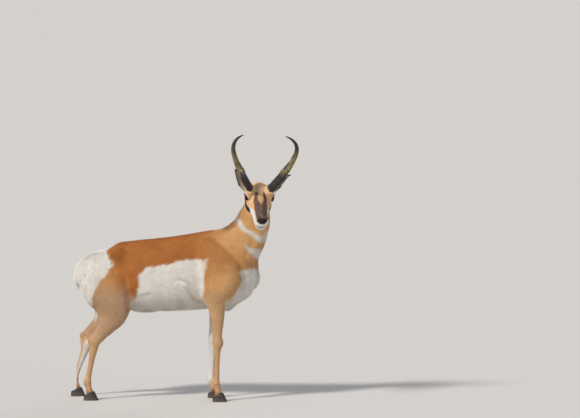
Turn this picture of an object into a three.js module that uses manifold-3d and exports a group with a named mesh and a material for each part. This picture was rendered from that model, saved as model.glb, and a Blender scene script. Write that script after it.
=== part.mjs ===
// A life-size pronghorn buck, standing square with its head turned to its own right.
// Units are millimetres. The body faces +X, its left side is +Y, and +Z is up.
import * as THREE from "three";
import { mergeVertices } from "three/addons/utils/BufferGeometryUtils.js";
import Module from "manifold-3d";

const wasm = await Module();
wasm.setup();

const V = (x, y, z) => new THREE.Vector3(x, y, z);
const UP = V(0, 0, 1);
const LEFT = V(0, 1, 0);

// Driving dimensions.
const PART_GAP = 0.4;
const TRUNK_SIDES = 20;
const NECK_SIDES = 16;
const HEAD_SIDES = 16;
const LEG_SIDES = 10;
const HORN_SIDES = 8;

// The trunk, from buttock to breast: the back line, the belly line, the half width and the
// height at which the body is widest.
const TRUNK_STATIONS = [
  { x: -452, top: 690, bottom: 610, wide: 34, mid: 650 },
  { x: -436, top: 724, bottom: 570, wide: 66, mid: 645 },
  { x: -385, top: 752, bottom: 536, wide: 96, mid: 645 },
  { x: -312, top: 779, bottom: 516, wide: 108, mid: 650 },
  { x: -250, top: 812, bottom: 496, wide: 113, mid: 655 },
  { x: -160, top: 825, bottom: 458, wide: 126, mid: 640 },
  { x: -20, top: 837, bottom: 450, wide: 141, mid: 630 },
  { x: 90, top: 853, bottom: 455, wide: 137, mid: 635 },
  { x: 200, top: 872, bottom: 464, wide: 120, mid: 640 },
  { x: 290, top: 862, bottom: 478, wide: 108, mid: 650 },
  { x: 360, top: 822, bottom: 507, wide: 94, mid: 650 },
  { x: 415, top: 766, bottom: 543, wide: 72, mid: 645 },
  { x: 446, top: 702, bottom: 606, wide: 36, mid: 652 },
];
const TRUNK_RINGS = 20;

// The neck's middle line, its half depth from nape to throat, its half width, and how far it
// has twisted towards the camera side, in degrees.
const NECK_STATIONS = [
  { x: 286, y: 0, z: 728, deep: 146, wide: 92, twist: 0 },
  { x: 345, y: 0, z: 780, deep: 131, wide: 86, twist: 0 },
  { x: 394, y: -1, z: 834, deep: 113, wide: 75, twist: 4 },
  { x: 428, y: -5, z: 895, deep: 98, wide: 68, twist: 14 },
  { x: 450, y: -16, z: 956, deep: 91, wide: 65, twist: 34 },
  { x: 464, y: -36, z: 1012, deep: 80, wide: 63, twist: 58 },
  { x: 469, y: -68, z: 1058, deep: 66, wide: 58, twist: 76 },
  { x: 472, y: -92, z: 1086, deep: 42, wide: 42, twist: 79 },
];
const NECK_RINGS = 12;

// The head's own frame: its origin lies midway between the eyes, its axis runs to the nose.
const HEAD_AT = V(480, -135, 1055);
const HEAD_YAW = 11;
const HEAD_PITCH = 30;
const HEAD_ROLL = 2.5;
const HEAD_STATIONS = [
  { x: -116, top: 8, bottom: -44, wide: 32, mid: -18 },
  { x: -100, top: 24, bottom: -72, wide: 49, mid: -22 },
  { x: -62, top: 39, bottom: -94, wide: 60, mid: -22 },
  { x: -20, top: 45, bottom: -96, wide: 61, mid: -20 },
  { x: 30, top: 43, bottom: -88, wide: 55, mid: -22 },
  { x: 80, top: 36, bottom: -78, wide: 46, mid: -26 },
  { x: 130, top: 28, bottom: -76, wide: 40, mid: -30 },
  { x: 172, top: 21, bottom: -80, wide: 38, mid: -34 },
  { x: 196, top: 11, bottom: -74, wide: 33, mid: -36 },
  { x: 207, top: -4, bottom: -48, wide: 16, mid: -26 },
];
const HEAD_RINGS = 15;
const BROW = { at: V(-8, 48, 22), size: V(36, 25, 28) };
const CHEEK = { at: V(-20, 42, -56), size: V(64, 30, 42) };
const NOSE_WING = { at: V(184, 18, -4), size: V(20, 15, 17) };

const EYE = { at: V(2, 56, 1), size: V(20, 20, 20) };
const EYE_SIDES = 12;
const NOSTRIL = { at: V(198, 17, -3), size: V(11, 6, 8) };
const MOUTH = { at: V(190, 0, -45), size: V(34, 44, 1.6) };

// The horn's middle line on the animal's left side, in the head's frame, with its half size
// from front to back and from side to side. The two horns of this buck lean out unequally.
const HORN_STATIONS = [
  { x: -14, y: 46, z: 34, deep: 30, wide: 18 },
  { x: -10, y: 66, z: 66, deep: 32, wide: 19 },
  { x: -9, y: 90, z: 106, deep: 33, wide: 19 },
  { x: -14, y: 114, z: 150, deep: 29, wide: 18 },
  { x: -24, y: 143, z: 204, deep: 20, wide: 14.5 },
  { x: -38, y: 161, z: 257, deep: 15, wide: 12 },
  { x: -54, y: 156, z: 292, deep: 11, wide: 9.5 },
  { x: -70, y: 134, z: 312, deep: 7, wide: 6.5 },
  { x: -84, y: 108, z: 319, deep: 2, wide: 2 },
];
const HORN_RINGS = 16;
const HORN_SPREAD = { left: 1.08, right: 0.92 };
const SOCKET_DEPTH = 0.03;
const PRONG_STATIONS = [
  { x: -8, y: 106, z: 134, deep: 28, wide: 13 },
  { x: 20, y: 108, z: 146, deep: 22, wide: 11 },
  { x: 44, y: 109, z: 161, deep: 13, wide: 8 },
  { x: 58, y: 108, z: 176, deep: 3, wide: 3 },
];
const PRONG_RINGS = 5;

// The ears stand out to each side; the left one is laid lower than the right.
const EAR_ROOT = V(-62, 58, 8);
const EAR_TIP = { left: V(-80, 157, 92), right: V(-80, 129, 115) };
const EAR_FACING = { left: V(0.75, 0.45, -0.3), right: V(0.9, 0.3, -0.1) };
const EAR_STATIONS = [
  { t: -0.06, wide: 17, deep: 15 },
  { t: 0.12, wide: 25, deep: 18 },
  { t: 0.35, wide: 30, deep: 17 },
  { t: 0.6, wide: 27, deep: 14 },
  { t: 0.82, wide: 17, deep: 9 },
  { t: 1, wide: 3, deep: 3 },
];
const EAR_RINGS = 8;
const EAR_SIDES = 10;
const EAR_WALL = 5;
const EAR_HOLLOW = 0.9;
const EAR_BASE_T = 0.12;

// Legs, from the shoulder or hip down to the hoof: the middle line, the half depth from front
// to back and the half width. The y is a distance outwards from the body's middle plane.
const FORELEG_STATIONS = [
  { x: 214, y: 58, z: 806, deep: 46, wide: 34 },
  { x: 246, y: 82, z: 740, deep: 82, wide: 48 },
  { x: 282, y: 94, z: 660, deep: 100, wide: 52 },
  { x: 270, y: 97, z: 595, deep: 92, wide: 48 },
  { x: 251, y: 92, z: 540, deep: 66, wide: 41 },
  { x: 252, y: 87, z: 490, deep: 46, wide: 35 },
  { x: 256, y: 85, z: 430, deep: 36, wide: 30 },
  { x: 257, y: 84, z: 370, deep: 29, wide: 25 },
  { x: 257, y: 84, z: 330, deep: 27, wide: 24 },
  { x: 259, y: 84, z: 298, deep: 28, wide: 26 },
  { x: 256, y: 84, z: 258, deep: 21, wide: 19 },
  { x: 255, y: 84, z: 190, deep: 16.5, wide: 15 },
  { x: 253, y: 84, z: 124, deep: 17.5, wide: 16 },
  { x: 249, y: 84, z: 94, deep: 22, wide: 20 },
  { x: 258, y: 84, z: 60, deep: 19, wide: 20 },
  { x: 266, y: 84, z: 24, deep: 26, wide: 25 },
];
const HIND_LEG_STATIONS = [
  { x: -322, y: 52, z: 716, deep: 96, wide: 46 },
  { x: -324, y: 74, z: 640, deep: 124, wide: 58 },
  { x: -306, y: 84, z: 566, deep: 122, wide: 60 },
  { x: -286, y: 90, z: 500, deep: 104, wide: 54 },
  { x: -289, y: 92, z: 440, deep: 80, wide: 42 },
  { x: -316, y: 92, z: 390, deep: 57, wide: 33 },
  { x: -350, y: 91, z: 345, deep: 42, wide: 26 },
  { x: -376, y: 91, z: 306, deep: 35, wide: 25 },
  { x: -384, y: 91, z: 262, deep: 25, wide: 20 },
  { x: -397, y: 90, z: 190, deep: 18, wide: 15.5 },
  { x: -410, y: 90, z: 122, deep: 18, wide: 16 },
  { x: -416, y: 90, z: 92, deep: 22, wide: 20 },
  { x: -408, y: 90, z: 60, deep: 19, wide: 20 },
  { x: -400, y: 90, z: 24, deep: 26, wide: 25 },
];
const LEG_RINGS = 18;
const HOCK_STATIONS = [
  { x: -380, y: 91, z: 308, deep: 22, wide: 22 },
  { x: -419, y: 91, z: 345, deep: 14, wide: 14 },
];

// How far each leg is set back from the near one of its pair, for the parts below a height.
const FAR_FORE_BACK = 46;
const FAR_HOCK_BACK = 68;
const FAR_HOCK_DROP = 30;
const FAR_HOOF_BACK = 96;
const STRIDE_HEIGHT = 640;
const HOCK_HEIGHT = 300;

// A cloven hoof: two claws, each a pointed sole drawn in and back as it rises.
const HOOF_TOP = 46;
const HEEL_TOP = 26;
const CLAW_LENGTH = 74;
const CLAW_WIDTH = 27;
const CLAW_GAP = 3;
const CLAW_BACK = 34;
const CLAW_POINTS = 9;
const CLAW_HEIGHTS = [0, 5, 24, 60];
const CLAW_RISE = 0.32;
const CLAW_LEAN = 0.06;

// Where the legs are parted into lengths.
const KNEE_HEIGHT = 276;
const HOCK_CUT_HEIGHT = 276;
const ELBOW_HEIGHT = 505;
const GASKIN_HEIGHT = 430;
const FORE_ROOM = { x: 268, z: 655, deep: 112, high: 150, inner: 44 };
const HIND_ROOM = { x: -316, z: 625, deep: 140, high: 120, inner: 36 };
const LEG_ROOM = 5;

// The planes where the neck, the tail and the head are parted, the last in the head's frame.
const NECK_CUT = { at: V(368, 0, 806), normal: V(0.62, 0, 0.78) };
const TAIL_CUT = { at: V(-436, 0, 706), normal: V(0.72, 0, 0.7) };
const HEAD_CUT = { at: V(-88, 0, 0), normal: V(0.8, 0, 0.6) };

const TAIL_STATIONS = [
  { x: -418, y: 0, z: 716, deep: 17, wide: 22 },
  { x: -448, y: 0, z: 690, deep: 17, wide: 25 },
  { x: -465, y: 0, z: 645, deep: 14, wide: 26 },
  { x: -472, y: 0, z: 595, deep: 11, wide: 20 },
  { x: -473, y: 0, z: 560, deep: 4, wide: 6 },
];
const TAIL_RINGS = 7;
const TAIL_SIDES = 10;
const SHEATH = { at: V(-128, 0, 458), size: V(78, 22, 16) };
const SCROTUM = { at: V(-262, 0, 498), size: V(36, 30, 40) };

const COAT = {
  body: { color: 0xb8712f, roughness: 0.9, metalness: 0 },
  face: { color: 0x6b5148, roughness: 0.85, metalness: 0 },
  rump: { color: 0xe9e2d6, roughness: 0.95, metalness: 0 },
  leg: { color: 0xc08a55, roughness: 0.9, metalness: 0 },
  horn: { color: 0x26221d, roughness: 0.45, metalness: 0 },
  hoof: { color: 0x1d1a18, roughness: 0.5, metalness: 0 },
  eye: { color: 0x0d0806, roughness: 0.05, metalness: 0 },
};

// A closed mesh as a manifold solid, whichever way its faces were wound.
function solidOf(geometry) {
  const bare = geometry.clone();
  bare.deleteAttribute("normal");
  bare.deleteAttribute("uv");
  const merged = mergeVertices(bare, 1e-3);
  const triVerts = new Uint32Array(merged.index.array);
  const vertProperties = merged.attributes.position.array;
  const make = () => new wasm.Manifold(new wasm.Mesh({ numProp: 3, vertProperties, triVerts }));
  const made = make();
  if (made.volume() > 0) return made;
  for (let i = 0; i < triVerts.length; i += 3) {
    [triVerts[i + 1], triVerts[i + 2]] = [triVerts[i + 2], triVerts[i + 1]];
  }
  return make();
}

function geometryOf(solid) {
  const mesh = solid.getMesh();
  const geometry = new THREE.BufferGeometry();
  geometry.setAttribute("position", new THREE.BufferAttribute(mesh.vertProperties, 3));
  geometry.setIndex(new THREE.BufferAttribute(mesh.triVerts, 1));
  geometry.computeVertexNormals();
  return geometry;
}

// A smooth curve through one number of each station, at a share of the way along them.
function between(stations, key, share) {
  const place = share * (stations.length - 1);
  const i = Math.min(Math.floor(place), stations.length - 2);
  const t = place - i;
  const at = (k) => stations[THREE.MathUtils.clamp(k, 0, stations.length - 1)][key];
  const [a, b, c, d] = [at(i - 1), at(i), at(i + 1), at(i + 2)];
  const rise = (c - a) / 2;
  const fall = (d - b) / 2;
  return (
    b * (2 * t ** 3 - 3 * t ** 2 + 1) +
    rise * (t ** 3 - 2 * t ** 2 + t) +
    c * (3 * t ** 2 - 2 * t ** 3) +
    fall * (t ** 3 - t ** 2)
  );
}

function resampled(stations, count) {
  const keys = Object.keys(stations[0]);
  return Array.from({ length: count }, (_, i) =>
    Object.fromEntries(keys.map((key) => [key, between(stations, key, i / (count - 1))])),
  );
}

// A ring of points round a centre: "up" and "side" are its axes, each with its own reach.
function ring(centre, up, side, reach, sides) {
  return Array.from({ length: sides }, (_, i) => {
    const turn = (2 * Math.PI * i) / sides;
    const [c, s] = [Math.cos(turn), Math.sin(turn)];
    return centre
      .clone()
      .addScaledVector(up, c * (c > 0 ? reach.above : reach.below))
      .addScaledVector(side, s * reach.wide);
  });
}

// A closed skin over rings that all have the same number of points.
function loft(rings) {
  const sides = rings[0].length;
  const ends = [rings[0], rings.at(-1)].map((r) =>
    r.reduce((sum, p) => sum.add(p), V(0, 0, 0)).divideScalar(sides),
  );
  const points = [...rings.flat(), ...ends];
  const [first, last] = [points.length - 2, points.length - 1];
  const faces = [];
  for (let i = 0; i < sides; i++) {
    const j = (i + 1) % sides;
    faces.push(first, j, i);
    for (let r = 0; r + 1 < rings.length; r++) {
      const [a, b, c, d] = [r * sides + i, r * sides + j, (r + 1) * sides + i, (r + 1) * sides + j];
      faces.push(a, b, c, b, d, c);
    }
    const base = (rings.length - 1) * sides;
    faces.push(last, base + i, base + j);
  }
  const geometry = new THREE.BufferGeometry().setFromPoints(points);
  geometry.setIndex(faces);
  return solidOf(geometry);
}

// A tube of changing oval section along a path. "front" gives the way the section's depth runs.
function limb(stations, count, sides, { front = V(1, 0, 0), grow = 0 } = {}) {
  const steps = resampled(stations, count);
  const places = steps.map((s) => V(s.x, s.y, s.z));
  return loft(
    steps.map((s, i) => {
      const before = places[Math.max(i - 1, 0)];
      const along = places[Math.min(i + 1, count - 1)].clone().sub(before).normalize();
      const twist = THREE.MathUtils.degToRad(s.twist ?? 0);
      const facing = front.clone().applyAxisAngle(UP, -twist);
      const side = along.clone().cross(facing).normalize();
      const up = side.clone().cross(along).normalize();
      const reach = { above: s.deep + grow, below: s.deep + grow, wide: s.wide + grow };
      return ring(places[i], up, side, reach, sides);
    }),
  );
}

// A body whose sections stand square to the X axis, each with its own top, bottom and width.
function hull(stations, count, sides) {
  return loft(
    resampled(stations, count).map((s) => {
      const reach = { above: s.top - s.mid, below: s.mid - s.bottom, wide: s.wide };
      return ring(V(s.x, 0, s.mid), UP, LEFT, reach, sides);
    }),
  );
}

function ellipsoid({ at, size }, { mirror = 1, grow = 0, sides = 10 } = {}) {
  const shape = new THREE.SphereGeometry(1, sides, Math.round(sides * 0.7));
  shape.scale(size.x + grow, size.y + grow, size.z + grow);
  shape.translate(at.x, at.y * mirror, at.z);
  return solidOf(shape);
}

const joined = (solids) => solids.reduce((all, s) => all.add(s));

// The body of a solid once the specks left by its cuts are dropped.
function withoutSpecks(solid) {
  const bodies = solid.decompose();
  return bodies.reduce((most, body) => (body.volume() > most.volume() ? body : most));
}

// Parts a solid at a plane, leaving a thin gap: [the side the normal points to, the other].
function parted(solid, normal, point) {
  const n = normal.clone().normalize();
  const offset = n.dot(point);
  const back = n.clone().negate();
  return [
    solid.trimByPlane(n.toArray(), offset + PART_GAP / 2),
    solid.trimByPlane(back.toArray(), -offset + PART_GAP / 2),
  ];
}

// The head's frame, as a matrix from its own axes to the body's.
function headFrame() {
  const [yaw, pitch, roll] = [HEAD_YAW, HEAD_PITCH, HEAD_ROLL].map(THREE.MathUtils.degToRad);
  return new THREE.Matrix4()
    .makeTranslation(HEAD_AT)
    .multiply(new THREE.Matrix4().makeRotationZ(yaw - Math.PI / 2))
    .multiply(new THREE.Matrix4().makeRotationY(pitch))
    .multiply(new THREE.Matrix4().makeRotationX(-roll));
}

const HEAD = headFrame();
const SIDES = ["right", "left"];
const SIGN = { left: 1, right: -1 };
const inHead = (solid) => solid.transform(HEAD.elements);

// One side's horn stations: those of the left side, spread out as far as this horn leans.
function leaning(stations, side) {
  const root = HORN_STATIONS[0].y;
  return stations.map((s) => ({
    ...s,
    y: SIGN[side] * (root + (s.y - root) * HORN_SPREAD[side]),
  }));
}

function horn(side) {
  const beam = limb(leaning(HORN_STATIONS, side), HORN_RINGS, HORN_SIDES);
  const prong = limb(leaning(PRONG_STATIONS, side), PRONG_RINGS, HORN_SIDES, { front: UP });
  return inHead(beam.add(prong));
}

// The room a horn takes in the skull: its beam a little larger, and a little deeper set.
function hornSocket(side) {
  const [first, second, ...rest] = leaning(HORN_STATIONS, side);
  const deeper = {
    ...first,
    y: first.y - (second.y - first.y) * SOCKET_DEPTH,
    z: first.z - (second.z - first.z) * SOCKET_DEPTH,
  };
  return limb([deeper, second, ...rest], HORN_RINGS, HORN_SIDES, { grow: PART_GAP });
}

// An ear is a leaf-shaped cup, open on the side it faces. Its root is a solid stub.
function ear(side) {
  const sided = (v) => v.clone().setY(SIGN[side] * v.y);
  const [root, tip, facing] = [EAR_ROOT, EAR_TIP[side], EAR_FACING[side]].map(sided);
  const along = tip.clone().sub(root).normalize();
  const across = along.clone().cross(facing).normalize();
  const open = across.clone().cross(along).normalize();
  const leaf = (thin, beyond, length) =>
    loft(
      resampled(EAR_STATIONS, EAR_RINGS).map((s) => {
        const reach = { above: s.deep + beyond, below: s.deep - thin, wide: s.wide - thin };
        const least = Object.entries(reach).map(([key, size]) => [key, Math.max(size, 0.8)]);
        const centre = root.clone().lerp(tip, s.t * length);
        return ring(centre, open, across, Object.fromEntries(least), EAR_SIDES);
      }),
    );
  const base = root.clone().lerp(tip, EAR_BASE_T);
  const [outer, stub] = parted(leaf(0, 0, 1), along, base);
  return { cup: inHead(outer.subtract(leaf(EAR_WALL, 2 * EAR_WALL, EAR_HOLLOW))), stub: inHead(stub) };
}

// The legs of the far side stand further back, and the more so the lower the joint.
function stance(isFore, side) {
  const stations = isFore ? FORELEG_STATIONS : HIND_LEG_STATIONS;
  return stations.map((s) => {
    const upper = THREE.MathUtils.clamp((STRIDE_HEIGHT - s.z) / (STRIDE_HEIGHT - HOCK_HEIGHT), 0, 1);
    const lower = THREE.MathUtils.clamp((1.45 * (HOCK_HEIGHT - s.z)) / HOCK_HEIGHT, 0, 1);
    const hindBack = FAR_HOCK_BACK * upper + (FAR_HOOF_BACK - FAR_HOCK_BACK) * lower;
    const back = isFore ? FAR_FORE_BACK * upper : hindBack;
    const drop = isFore ? 0 : FAR_HOCK_DROP * upper * (1 - lower);
    const far = side === "left" ? 1 : 0;
    return { ...s, x: s.x - far * back, y: SIGN[side] * s.y, z: s.z - far * drop };
  });
}

function leg(isFore, side, grow = 0) {
  const shaft = limb(stance(isFore, side), LEG_RINGS, LEG_SIDES, { grow });
  if (isFore) return shaft;
  const far = side === "left" ? 1 : 0;
  const heel = HOCK_STATIONS.map((s) => ({
    ...s,
    x: s.x - far * FAR_HOCK_BACK,
    y: SIGN[side] * s.y,
    z: s.z - far * FAR_HOCK_DROP,
  }));
  return shaft.add(limb(heel, 4, HORN_SIDES, { grow }));
}

// The room that belongs to one leg: a round block at the shoulder or thigh, the leg below it.
function legRoom(isFore, side, grow) {
  const r = isFore ? FORE_ROOM : HIND_ROOM;
  const outward = 200;
  const round = new THREE.CylinderGeometry(1, 1, outward, 16);
  round.scale(r.deep + grow, 1, r.high + grow);
  round.translate(r.x, SIGN[side] * (r.inner + outward / 2 - grow), r.z);
  const below = leg(isFore, side, LEG_ROOM + grow).trimByPlane([0, 0, -1], -r.z);
  return solidOf(round).add(below);
}

// The room that belongs to the tail, behind the plane where it leaves the rump.
function tailRoom(grow) {
  const n = TAIL_CUT.normal.clone().normalize().negate();
  const room = limb(TAIL_STATIONS, TAIL_RINGS, TAIL_SIDES, { grow: LEG_ROOM + grow });
  return room.trimByPlane(n.toArray(), n.dot(TAIL_CUT.at) - grow);
}

// A claw's outline at one height: round at the heel, drawn out to a point at the toe. "step"
// says which way the claw lies from the cleft.
function clawRing(heelX, cleftY, step, z) {
  const shrink = 1 - (CLAW_RISE * z) / HOOF_TOP;
  const middleY = cleftY + (step * (CLAW_WIDTH * shrink + CLAW_GAP)) / 2;
  return Array.from({ length: CLAW_POINTS }, (_, i) => {
    const turn = (2 * Math.PI * i) / CLAW_POINTS;
    const ahead = (1 - Math.cos(turn)) / 2;
    const wide = (CLAW_WIDTH / 2) * Math.sin(turn) * (1 - 0.28 * ahead) * shrink;
    return V(heelX + z * CLAW_LEAN + CLAW_LENGTH * shrink * ahead, middleY + wide, z);
  });
}

// One leg's parts, from the top down, parted from the flesh it was modelled in.
function legParts(isFore, side, flesh) {
  const foot = stance(isFore, side).at(-1);
  const heel = V(foot.x - CLAW_BACK, 0, HEEL_TOP);
  const hairline = V(HEEL_TOP - HOOF_TOP, 0, CLAW_LENGTH - CLAW_BACK);
  const [aboveHoof] = parted(flesh, hairline, heel);
  const [upper, rest] = parted(aboveHoof, UP, V(0, 0, isFore ? ELBOW_HEIGHT : GASKIN_HEIGHT));
  const [middle, cannon] = parted(rest, UP, V(0, 0, isFore ? KNEE_HEIGHT : HOCK_CUT_HEIGHT));
  const words = isFore ? ["shoulder", "forearm"] : ["thigh", "gaskin"];
  const name = `${isFore ? "fore" : "hind"}_${side}`;
  const claws = ["inner", "outer"].map((place) => {
    const step = SIGN[side] * (place === "inner" ? -1 : 1);
    const rings = CLAW_HEIGHTS.map((z) => clawRing(heel.x, foot.y, step, z));
    return [`${name}_hoof_${place}`, parted(loft(rings), hairline, heel)[1], "hoof"];
  });
  return [
    [`${name}_${words[0]}`, upper, "body"],
    [`${name}_${words[1]}`, middle, "leg"],
    [`${name}_cannon`, cannon, "leg"],
    ...claws,
  ];
}

// The head's solid before it is parted from the neck, with the neck's top in it.
function headAndNeck(neckTop, stubs) {
  const bulges = SIDES.flatMap((side) =>
    [BROW, CHEEK, NOSE_WING].map((bulge) => ellipsoid(bulge, { mirror: SIGN[side] })),
  );
  const hollows = SIDES.flatMap((side) => [
    ellipsoid(NOSTRIL, { mirror: SIGN[side], sides: 8 }),
    ellipsoid(EYE, { mirror: SIGN[side], grow: PART_GAP, sides: EYE_SIDES }),
    hornSocket(side),
  ]);
  const skull = joined([hull(HEAD_STATIONS, HEAD_RINGS, HEAD_SIDES), ...bulges]);
  const mouth = ellipsoid(MOUTH);
  const whole = joined([inHead(skull), neckTop, ...stubs]);
  return [mouth, ...hollows].reduce((left, hollow) => left.subtract(inHead(hollow)), whole);
}

// Every part as [name, solid, finish]. The flesh is one solid first, then it is parted.
function pronghorn() {
  let flesh = joined([
    hull(TRUNK_STATIONS, TRUNK_RINGS, TRUNK_SIDES),
    ellipsoid(SHEATH),
    ellipsoid(SCROTUM),
    limb(NECK_STATIONS, NECK_RINGS, NECK_SIDES),
    limb(TAIL_STATIONS, TAIL_RINGS, TAIL_SIDES),
    ...SIDES.flatMap((side) => [leg(true, side), leg(false, side)]),
  ]);
  const legs = [];
  for (const side of SIDES) {
    for (const isFore of [true, false]) {
      legs.push(...legParts(isFore, side, flesh.intersect(legRoom(isFore, side, 0))));
      flesh = flesh.subtract(legRoom(isFore, side, PART_GAP));
    }
  }
  const [aboveTrunk, behindNeck] = parted(flesh, NECK_CUT.normal, NECK_CUT.at);
  const tail = behindNeck.intersect(tailRoom(0));
  const trunk = behindNeck.subtract(tailRoom(PART_GAP));
  const ears = SIDES.map(ear);
  const upper = headAndNeck(aboveTrunk, ears.map((e) => e.stub));
  const headCutAt = HEAD_CUT.at.clone().applyMatrix4(HEAD);
  const headCutWay = HEAD_CUT.normal.clone().transformDirection(HEAD);
  const [head, neck] = parted(upper, headCutWay, headCutAt);
  const sided = SIDES.flatMap((side, i) => [
    [`ear_${side}`, ears[i].cup, "face"],
    [`eye_${side}`, inHead(ellipsoid(EYE, { mirror: SIGN[side], sides: EYE_SIDES })), "eye"],
    [`horn_${side}`, horn(side), "horn"],
  ]);
  return [
    ["trunk", trunk, "body"],
    ["tail", tail, "rump"],
    ["neck", neck, "body"],
    ["head", head, "face"],
    ...sided,
    ...legs,
  ];
}

const group = new THREE.Group();
for (const [name, solid, finish] of pronghorn()) {
  const body = withoutSpecks(solid);
  const part = new THREE.Mesh(geometryOf(body), new THREE.MeshStandardMaterial(COAT[finish]));
  part.name = name;
  group.add(part);
}

// The origin lies on the ground, under the middle of the whole.
const whole = new THREE.Box3().setFromObject(group);
const middle = whole.getCenter(V(0, 0, 0)).setZ(whole.min.z);
for (const part of group.children) part.geometry.translate(-middle.x, -middle.y, -middle.z);

export default group;
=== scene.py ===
"""The looks of a life-size pronghorn buck: one skin, its coat, eyes, horns and hooves.

Shapes are worked out in millimetres in the animal's own frame: +X the way the body faces, +Y its
left, +Z up. The head has a frame of its own, from midway between the eyes towards the nose.
"""

import logging
import math
from collections.abc import Sequence
from dataclasses import dataclass
from enum import Enum

import bmesh
import bpy
import numpy as np
import openvdb
from mathutils import Matrix, Vector

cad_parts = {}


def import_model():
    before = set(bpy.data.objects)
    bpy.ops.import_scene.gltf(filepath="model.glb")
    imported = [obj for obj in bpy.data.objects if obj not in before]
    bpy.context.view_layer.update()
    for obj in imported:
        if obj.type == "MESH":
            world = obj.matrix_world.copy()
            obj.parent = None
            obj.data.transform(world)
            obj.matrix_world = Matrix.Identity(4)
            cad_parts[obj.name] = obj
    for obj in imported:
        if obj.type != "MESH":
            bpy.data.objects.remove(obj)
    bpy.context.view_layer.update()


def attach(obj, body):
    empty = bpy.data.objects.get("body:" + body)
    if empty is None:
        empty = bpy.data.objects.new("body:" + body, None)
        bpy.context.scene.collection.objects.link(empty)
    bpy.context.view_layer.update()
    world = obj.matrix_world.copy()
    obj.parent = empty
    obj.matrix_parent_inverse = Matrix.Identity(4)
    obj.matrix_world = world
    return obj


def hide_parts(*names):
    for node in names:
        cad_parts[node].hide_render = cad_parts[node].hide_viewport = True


LOG = logging.getLogger("pronghorn")
Array = np.ndarray
Triple = tuple[float, float, float]

# Metres in a millimetre.
MM = 0.001
# A distance that counts as far outside every shape.
FAR = 400.0
# The seed of the hair's random draws.
SEED = 11

# The head's place in the animal's frame, and how it is turned.
HEAD_AT = (480.0, -135.0, 1055.0)
HEAD_YAW = 11.0
HEAD_PITCH = 30.0
HEAD_ROLL = 2.5
EYE_AT = np.array((2.0, 56.0, 1.0))
EYE_RADIUS = 20.0


class Side(Enum):
    """The animal's two sides, as the sign of Y."""

    LEFT = 1
    RIGHT = -1


def unit(v: Array) -> Array:
    """Vectors scaled to a length of one."""
    return v / np.maximum(np.linalg.norm(v, axis=-1, keepdims=True), 1e-9)


def smoothstep(low: float, high: float, value: Array) -> Array:
    """A share from 0 at low to 1 at high, easing in and out."""
    t = np.clip((value - low) / (high - low), 0.0, 1.0)
    return t * t * (3.0 - 2.0 * t)


def spline(stations: Array, count: int) -> Array:
    """Rows eased from station to station, through every one of them.

    Args:
        stations: one row of numbers for each station.
        count: how many rows come back.

    Returns:
        The resampled rows.
    """
    place = np.linspace(0.0, len(stations) - 1.0, count)
    i = np.minimum(place.astype(int), len(stations) - 2)
    t = (place - i)[:, None]
    last = len(stations) - 1
    a, b = stations[np.maximum(i - 1, 0)], stations[i]
    c, d = stations[i + 1], stations[np.minimum(i + 2, last)]
    rise, fall = (c - a) / 2, (d - b) / 2
    return (
        b * (2 * t**3 - 3 * t**2 + 1)
        + rise * (t**3 - 2 * t**2 + t)
        + c * (3 * t**2 - 2 * t**3)
        + fall * (t**3 - t**2)
    )


def oval_distance(along: Array, size: Array) -> Array:
    """About how far points lie outside an ellipsoid.

    Args:
        along: the points in the ellipsoid's own axes.
        size: its half sizes, one row for all points or one for each.

    Returns:
        The distances, negative inside.
    """
    k0 = np.linalg.norm(along / size, axis=1)
    k1 = np.linalg.norm(along / size**2, axis=1)
    return k0 * (k0 - 1.0) / np.maximum(k1, 1e-6)


def joined(a: Array, b: Array, blend: float) -> Array:
    """The union of two distances, with a soft fillet as wide as blend."""
    h = np.maximum(blend - np.abs(a - b), 0.0) / blend
    return np.minimum(a, b) - h * h * blend / 4.0


def carved(a: Array, b: Array, blend: float) -> Array:
    """The first shape with the second taken out of it."""
    return -joined(-a, b, blend)


class HeadFrame:
    """Turns points and directions between the animal's frame and the head's."""

    def __init__(self) -> None:
        """Work out the turn once."""
        turn = (
            Matrix.Rotation(math.radians(HEAD_YAW - 90.0), 3, "Z")
            @ Matrix.Rotation(math.radians(HEAD_PITCH), 3, "Y")
            @ Matrix.Rotation(math.radians(-HEAD_ROLL), 3, "X")
        )
        self.turn = np.array(turn)
        self.at = np.array(HEAD_AT)

    def out(self, p: Array) -> Array:
        """Points of the head, in the animal's frame."""
        return p @ self.turn.T + self.at

    def into(self, p: Array) -> Array:
        """Points of the animal's frame, in the head's."""
        return (p - self.at) @ self.turn


HEAD = HeadFrame()


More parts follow.
